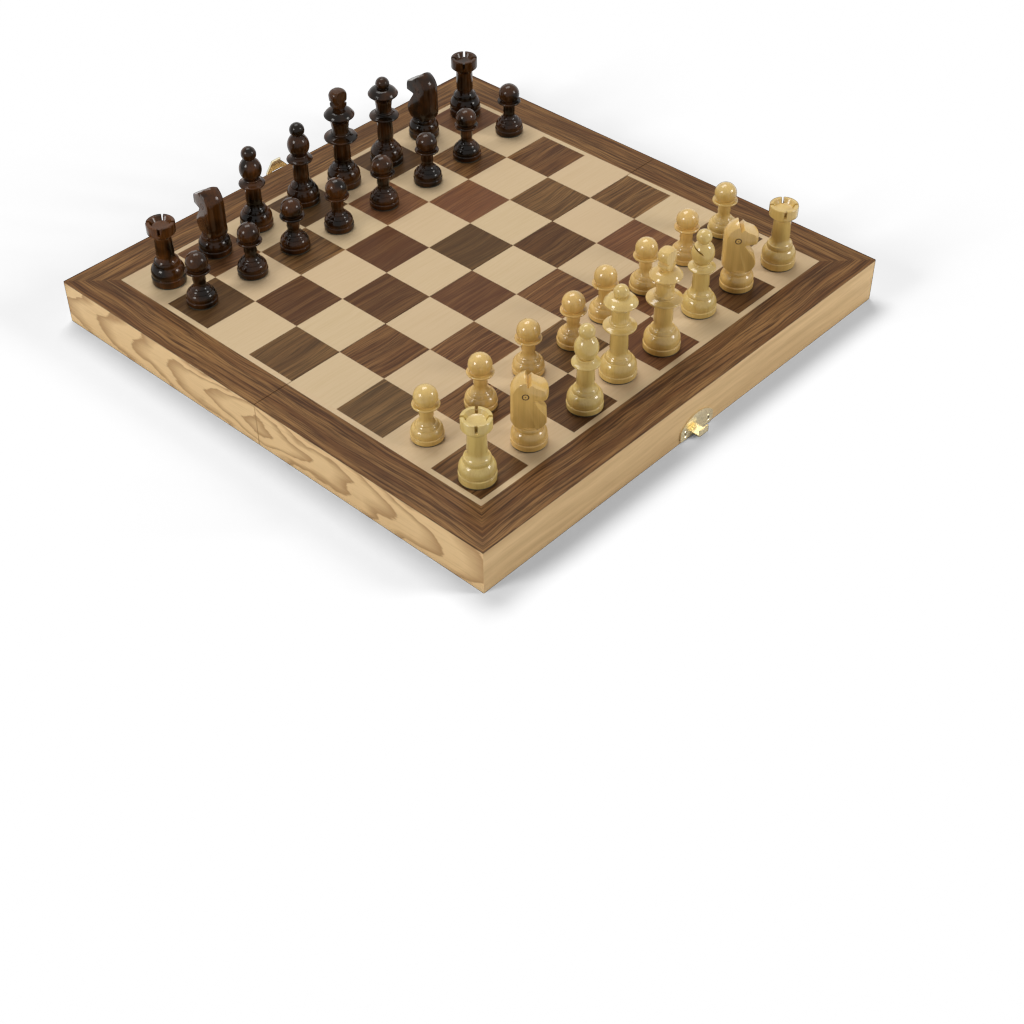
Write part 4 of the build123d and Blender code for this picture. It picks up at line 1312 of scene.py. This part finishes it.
class CHESS_OT_screws(bpy.types.Operator):
    """Drive a screw with a cross recess into every hole of the hinges and the clasp"""

    bl_idname = "chess_set.screws"
    bl_label = "Screws"

    def execute(self, context):
        sizes = settings().screw
        model = make_screw()
        low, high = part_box("near_screws")
        outer = high.x - sizes.head
        hinge = [
            (side * (outer - inset), high.y, high.z - sizes.head)
            for side in (-1, 1)
            for inset in (0, sizes.hinge_spacing)
        ]
        clasp = [(side * sizes.clasp_spacing / 2, low.y, low.z + sizes.head) for side in (-1, 1)]
        places = [Matrix.Translation(place) @ Matrix.Rotation(-math.pi / 2, 4, "X") for place in hinge]
        places += [Matrix.Translation(place) @ Matrix.Rotation(math.pi / 2, 4, "X") for place in clasp]
        for turn, node, body in ((0, "near_screws", "near_half"), (math.pi, "far_screws", "far_half")):
            joined = bmesh.new()
            for place in places:
                one = model.data.copy()
                one.transform(Matrix.Rotation(turn, 4, "Z") @ place)
                joined.from_mesh(one)
                bpy.data.meshes.remove(one)
            screws = mesh_object("driven_" + node, joined)
            shade(screws.data)
            screws.data.materials.append(material("brass"))
            # Second slot: painted shade in the cross recesses
            screws.data.materials.append(material("recess"))
            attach(screws, body)
            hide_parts(node)
        bpy.data.meshes.remove(model.data)
        return {"FINISHED"}


def piece_operator(kind, make):
    """An operator that stands one kind of piece on the board."""

    def execute(self, context):
        set_pieces(kind, make)
        return {"FINISHED"}

    plural = kind.title() + "s"
    members = {
        "__doc__": f"Turn the {kind}s and stand them on their squares",
        "bl_idname": f"chess_set.{kind}s",
        "bl_label": plural,
        "execute": execute,
    }
    return type(f"CHESS_OT_{kind}s", (bpy.types.Operator,), members)


class CHESS_OT_stage(bpy.types.Operator):
    """Set up the camera, the lamps and the floor"""

    bl_idname = "chess_set.stage"
    bl_label = "Stage"

    def execute(self, context):
        place_camera()
        light_room()
        lay_floor()
        return {"FINISHED"}


def place_camera():
    """The camera at the photograph's viewing angle."""
    stage = settings().stage
    level = math.cos(stage.elevation)
    x, y = math.sin(stage.azimuth) * level, -math.cos(stage.azimuth) * level
    back = Vector((x, y, math.sin(stage.elevation)))
    right = (-back).cross(Vector((0, 0, 1))).normalized()
    up = back.cross(right)
    turn, lean = math.cos(stage.roll), math.sin(stage.roll)
    axes = (right * turn + up * lean, up * turn - right * lean, back)
    data = bpy.data.cameras.new("camera")
    data.lens = stage.lens
    data.sensor_width = 36
    data.clip_start = 0.01
    camera = bpy.data.objects.new("camera", data)
    place = Matrix.Translation(Vector(stage.target) + back * stage.distance)
    camera.matrix_world = place @ Matrix(axes).transposed().to_4x4()
    bpy.context.scene.collection.objects.link(camera)
    bpy.context.scene.camera = camera


def lamp(name, place, aim, size, watts, tint):
    """A soft rectangular lamp aimed at a point."""
    data = bpy.data.lights.new(name, "AREA")
    data.shape = "RECTANGLE"
    data.size, data.size_y = size
    data.energy = watts
    data.color = tint
    made = bpy.data.objects.new(name, data)
    made.location = place
    made.rotation_euler = (Vector(aim) - Vector(place)).to_track_quat("-Z", "Y").to_euler()
    bpy.context.scene.collection.objects.link(made)


def light_room():
    """Soft lamps over and beside the board, and a pale room that the camera and gloss see as white."""
    stage = settings().stage
    for name, (place, aim, size, tint) in LAMPS.items():
        lamp(name, place, aim, size, stage.key if name == "key" else stage.side, tint)
    world = bpy.data.worlds.new("room")
    shader = Shader(world)
    white = shader.add("Background", {"Color": (1, 1, 1, 1), "Strength": 1.0})
    room = shader.add("Background", {"Color": (0.97, 0.98, 1.0, 1), "Strength": stage.fill})
    seen = shader.add("LightPath", output="Is Camera Ray")
    for ray in ("Is Glossy Ray", "Is Transmission Ray"):
        seen = shader.math("MAXIMUM", seen, shader.add("LightPath", output=ray))
    shader.add("OutputWorld", {"Surface": shader.add("MixShader", {0: seen, 1: room, 2: white})})
    bpy.context.scene.world = world


def lay_floor():
    """A floor that shows only the object's shadow."""
    side = settings().stage.floor / 2
    mesh = bmesh.new()
    corners = ((-side, -side), (side, -side), (side, side), (-side, side))
    mesh.faces.new([mesh.verts.new((x, y, 0)) for x, y in corners])
    floor = mesh_object("floor", mesh)
    shader = new_finish("floor")
    floor.data.materials.append(shader.finish({"Base Color": (0.9, 0.9, 0.9, 1.0), "Roughness": 0.9}))
    floor.is_shadow_catcher = True


PIECES = {
    "pawn": make_pawn,
    "rook": make_rook,
    "knight": make_knight,
    "bishop": make_bishop,
    "queen": make_queen,
    "king": make_king,
}
STEPS = [CHESS_OT_case, CHESS_OT_inlay, CHESS_OT_hardware, CHESS_OT_screws]
STEPS += [piece_operator(kind, make) for kind, make in PIECES.items()]
STEPS.append(CHESS_OT_stage)


class CHESS_PT_panel(bpy.types.Panel):
    """Lists the steps that build the set"""

    bl_idname = "CHESS_PT_panel"
    bl_label = "Chess set"
    bl_space_type = "VIEW_3D"
    bl_region_type = "UI"
    bl_category = "Chess set"

    def draw(self, context):
        for step in STEPS:
            self.layout.operator(step.bl_idname)


CLASSES = [*GROUPS.values(), ChessSettings, *STEPS, CHESS_PT_panel]


def register():
    """Registers the settings, the steps and the panel."""
    for each in CLASSES:
        bpy.utils.register_class(each)
    bpy.types.Scene.chess_set = bpy.props.PointerProperty(type=ChessSettings)


def unregister():
    """Takes them away again."""
    del bpy.types.Scene.chess_set
    for each in reversed(CLASSES):
        bpy.utils.unregister_class(each)


def main():
    """Builds the whole scene and writes the two sizes."""
    register()
    bpy.context.scene.view_settings.view_transform = "Standard"
    for step in STEPS:
        area, name = step.bl_idname.split(".")
        getattr(getattr(bpy.ops, area), name)()


if __name__ == "__main__":
    main()
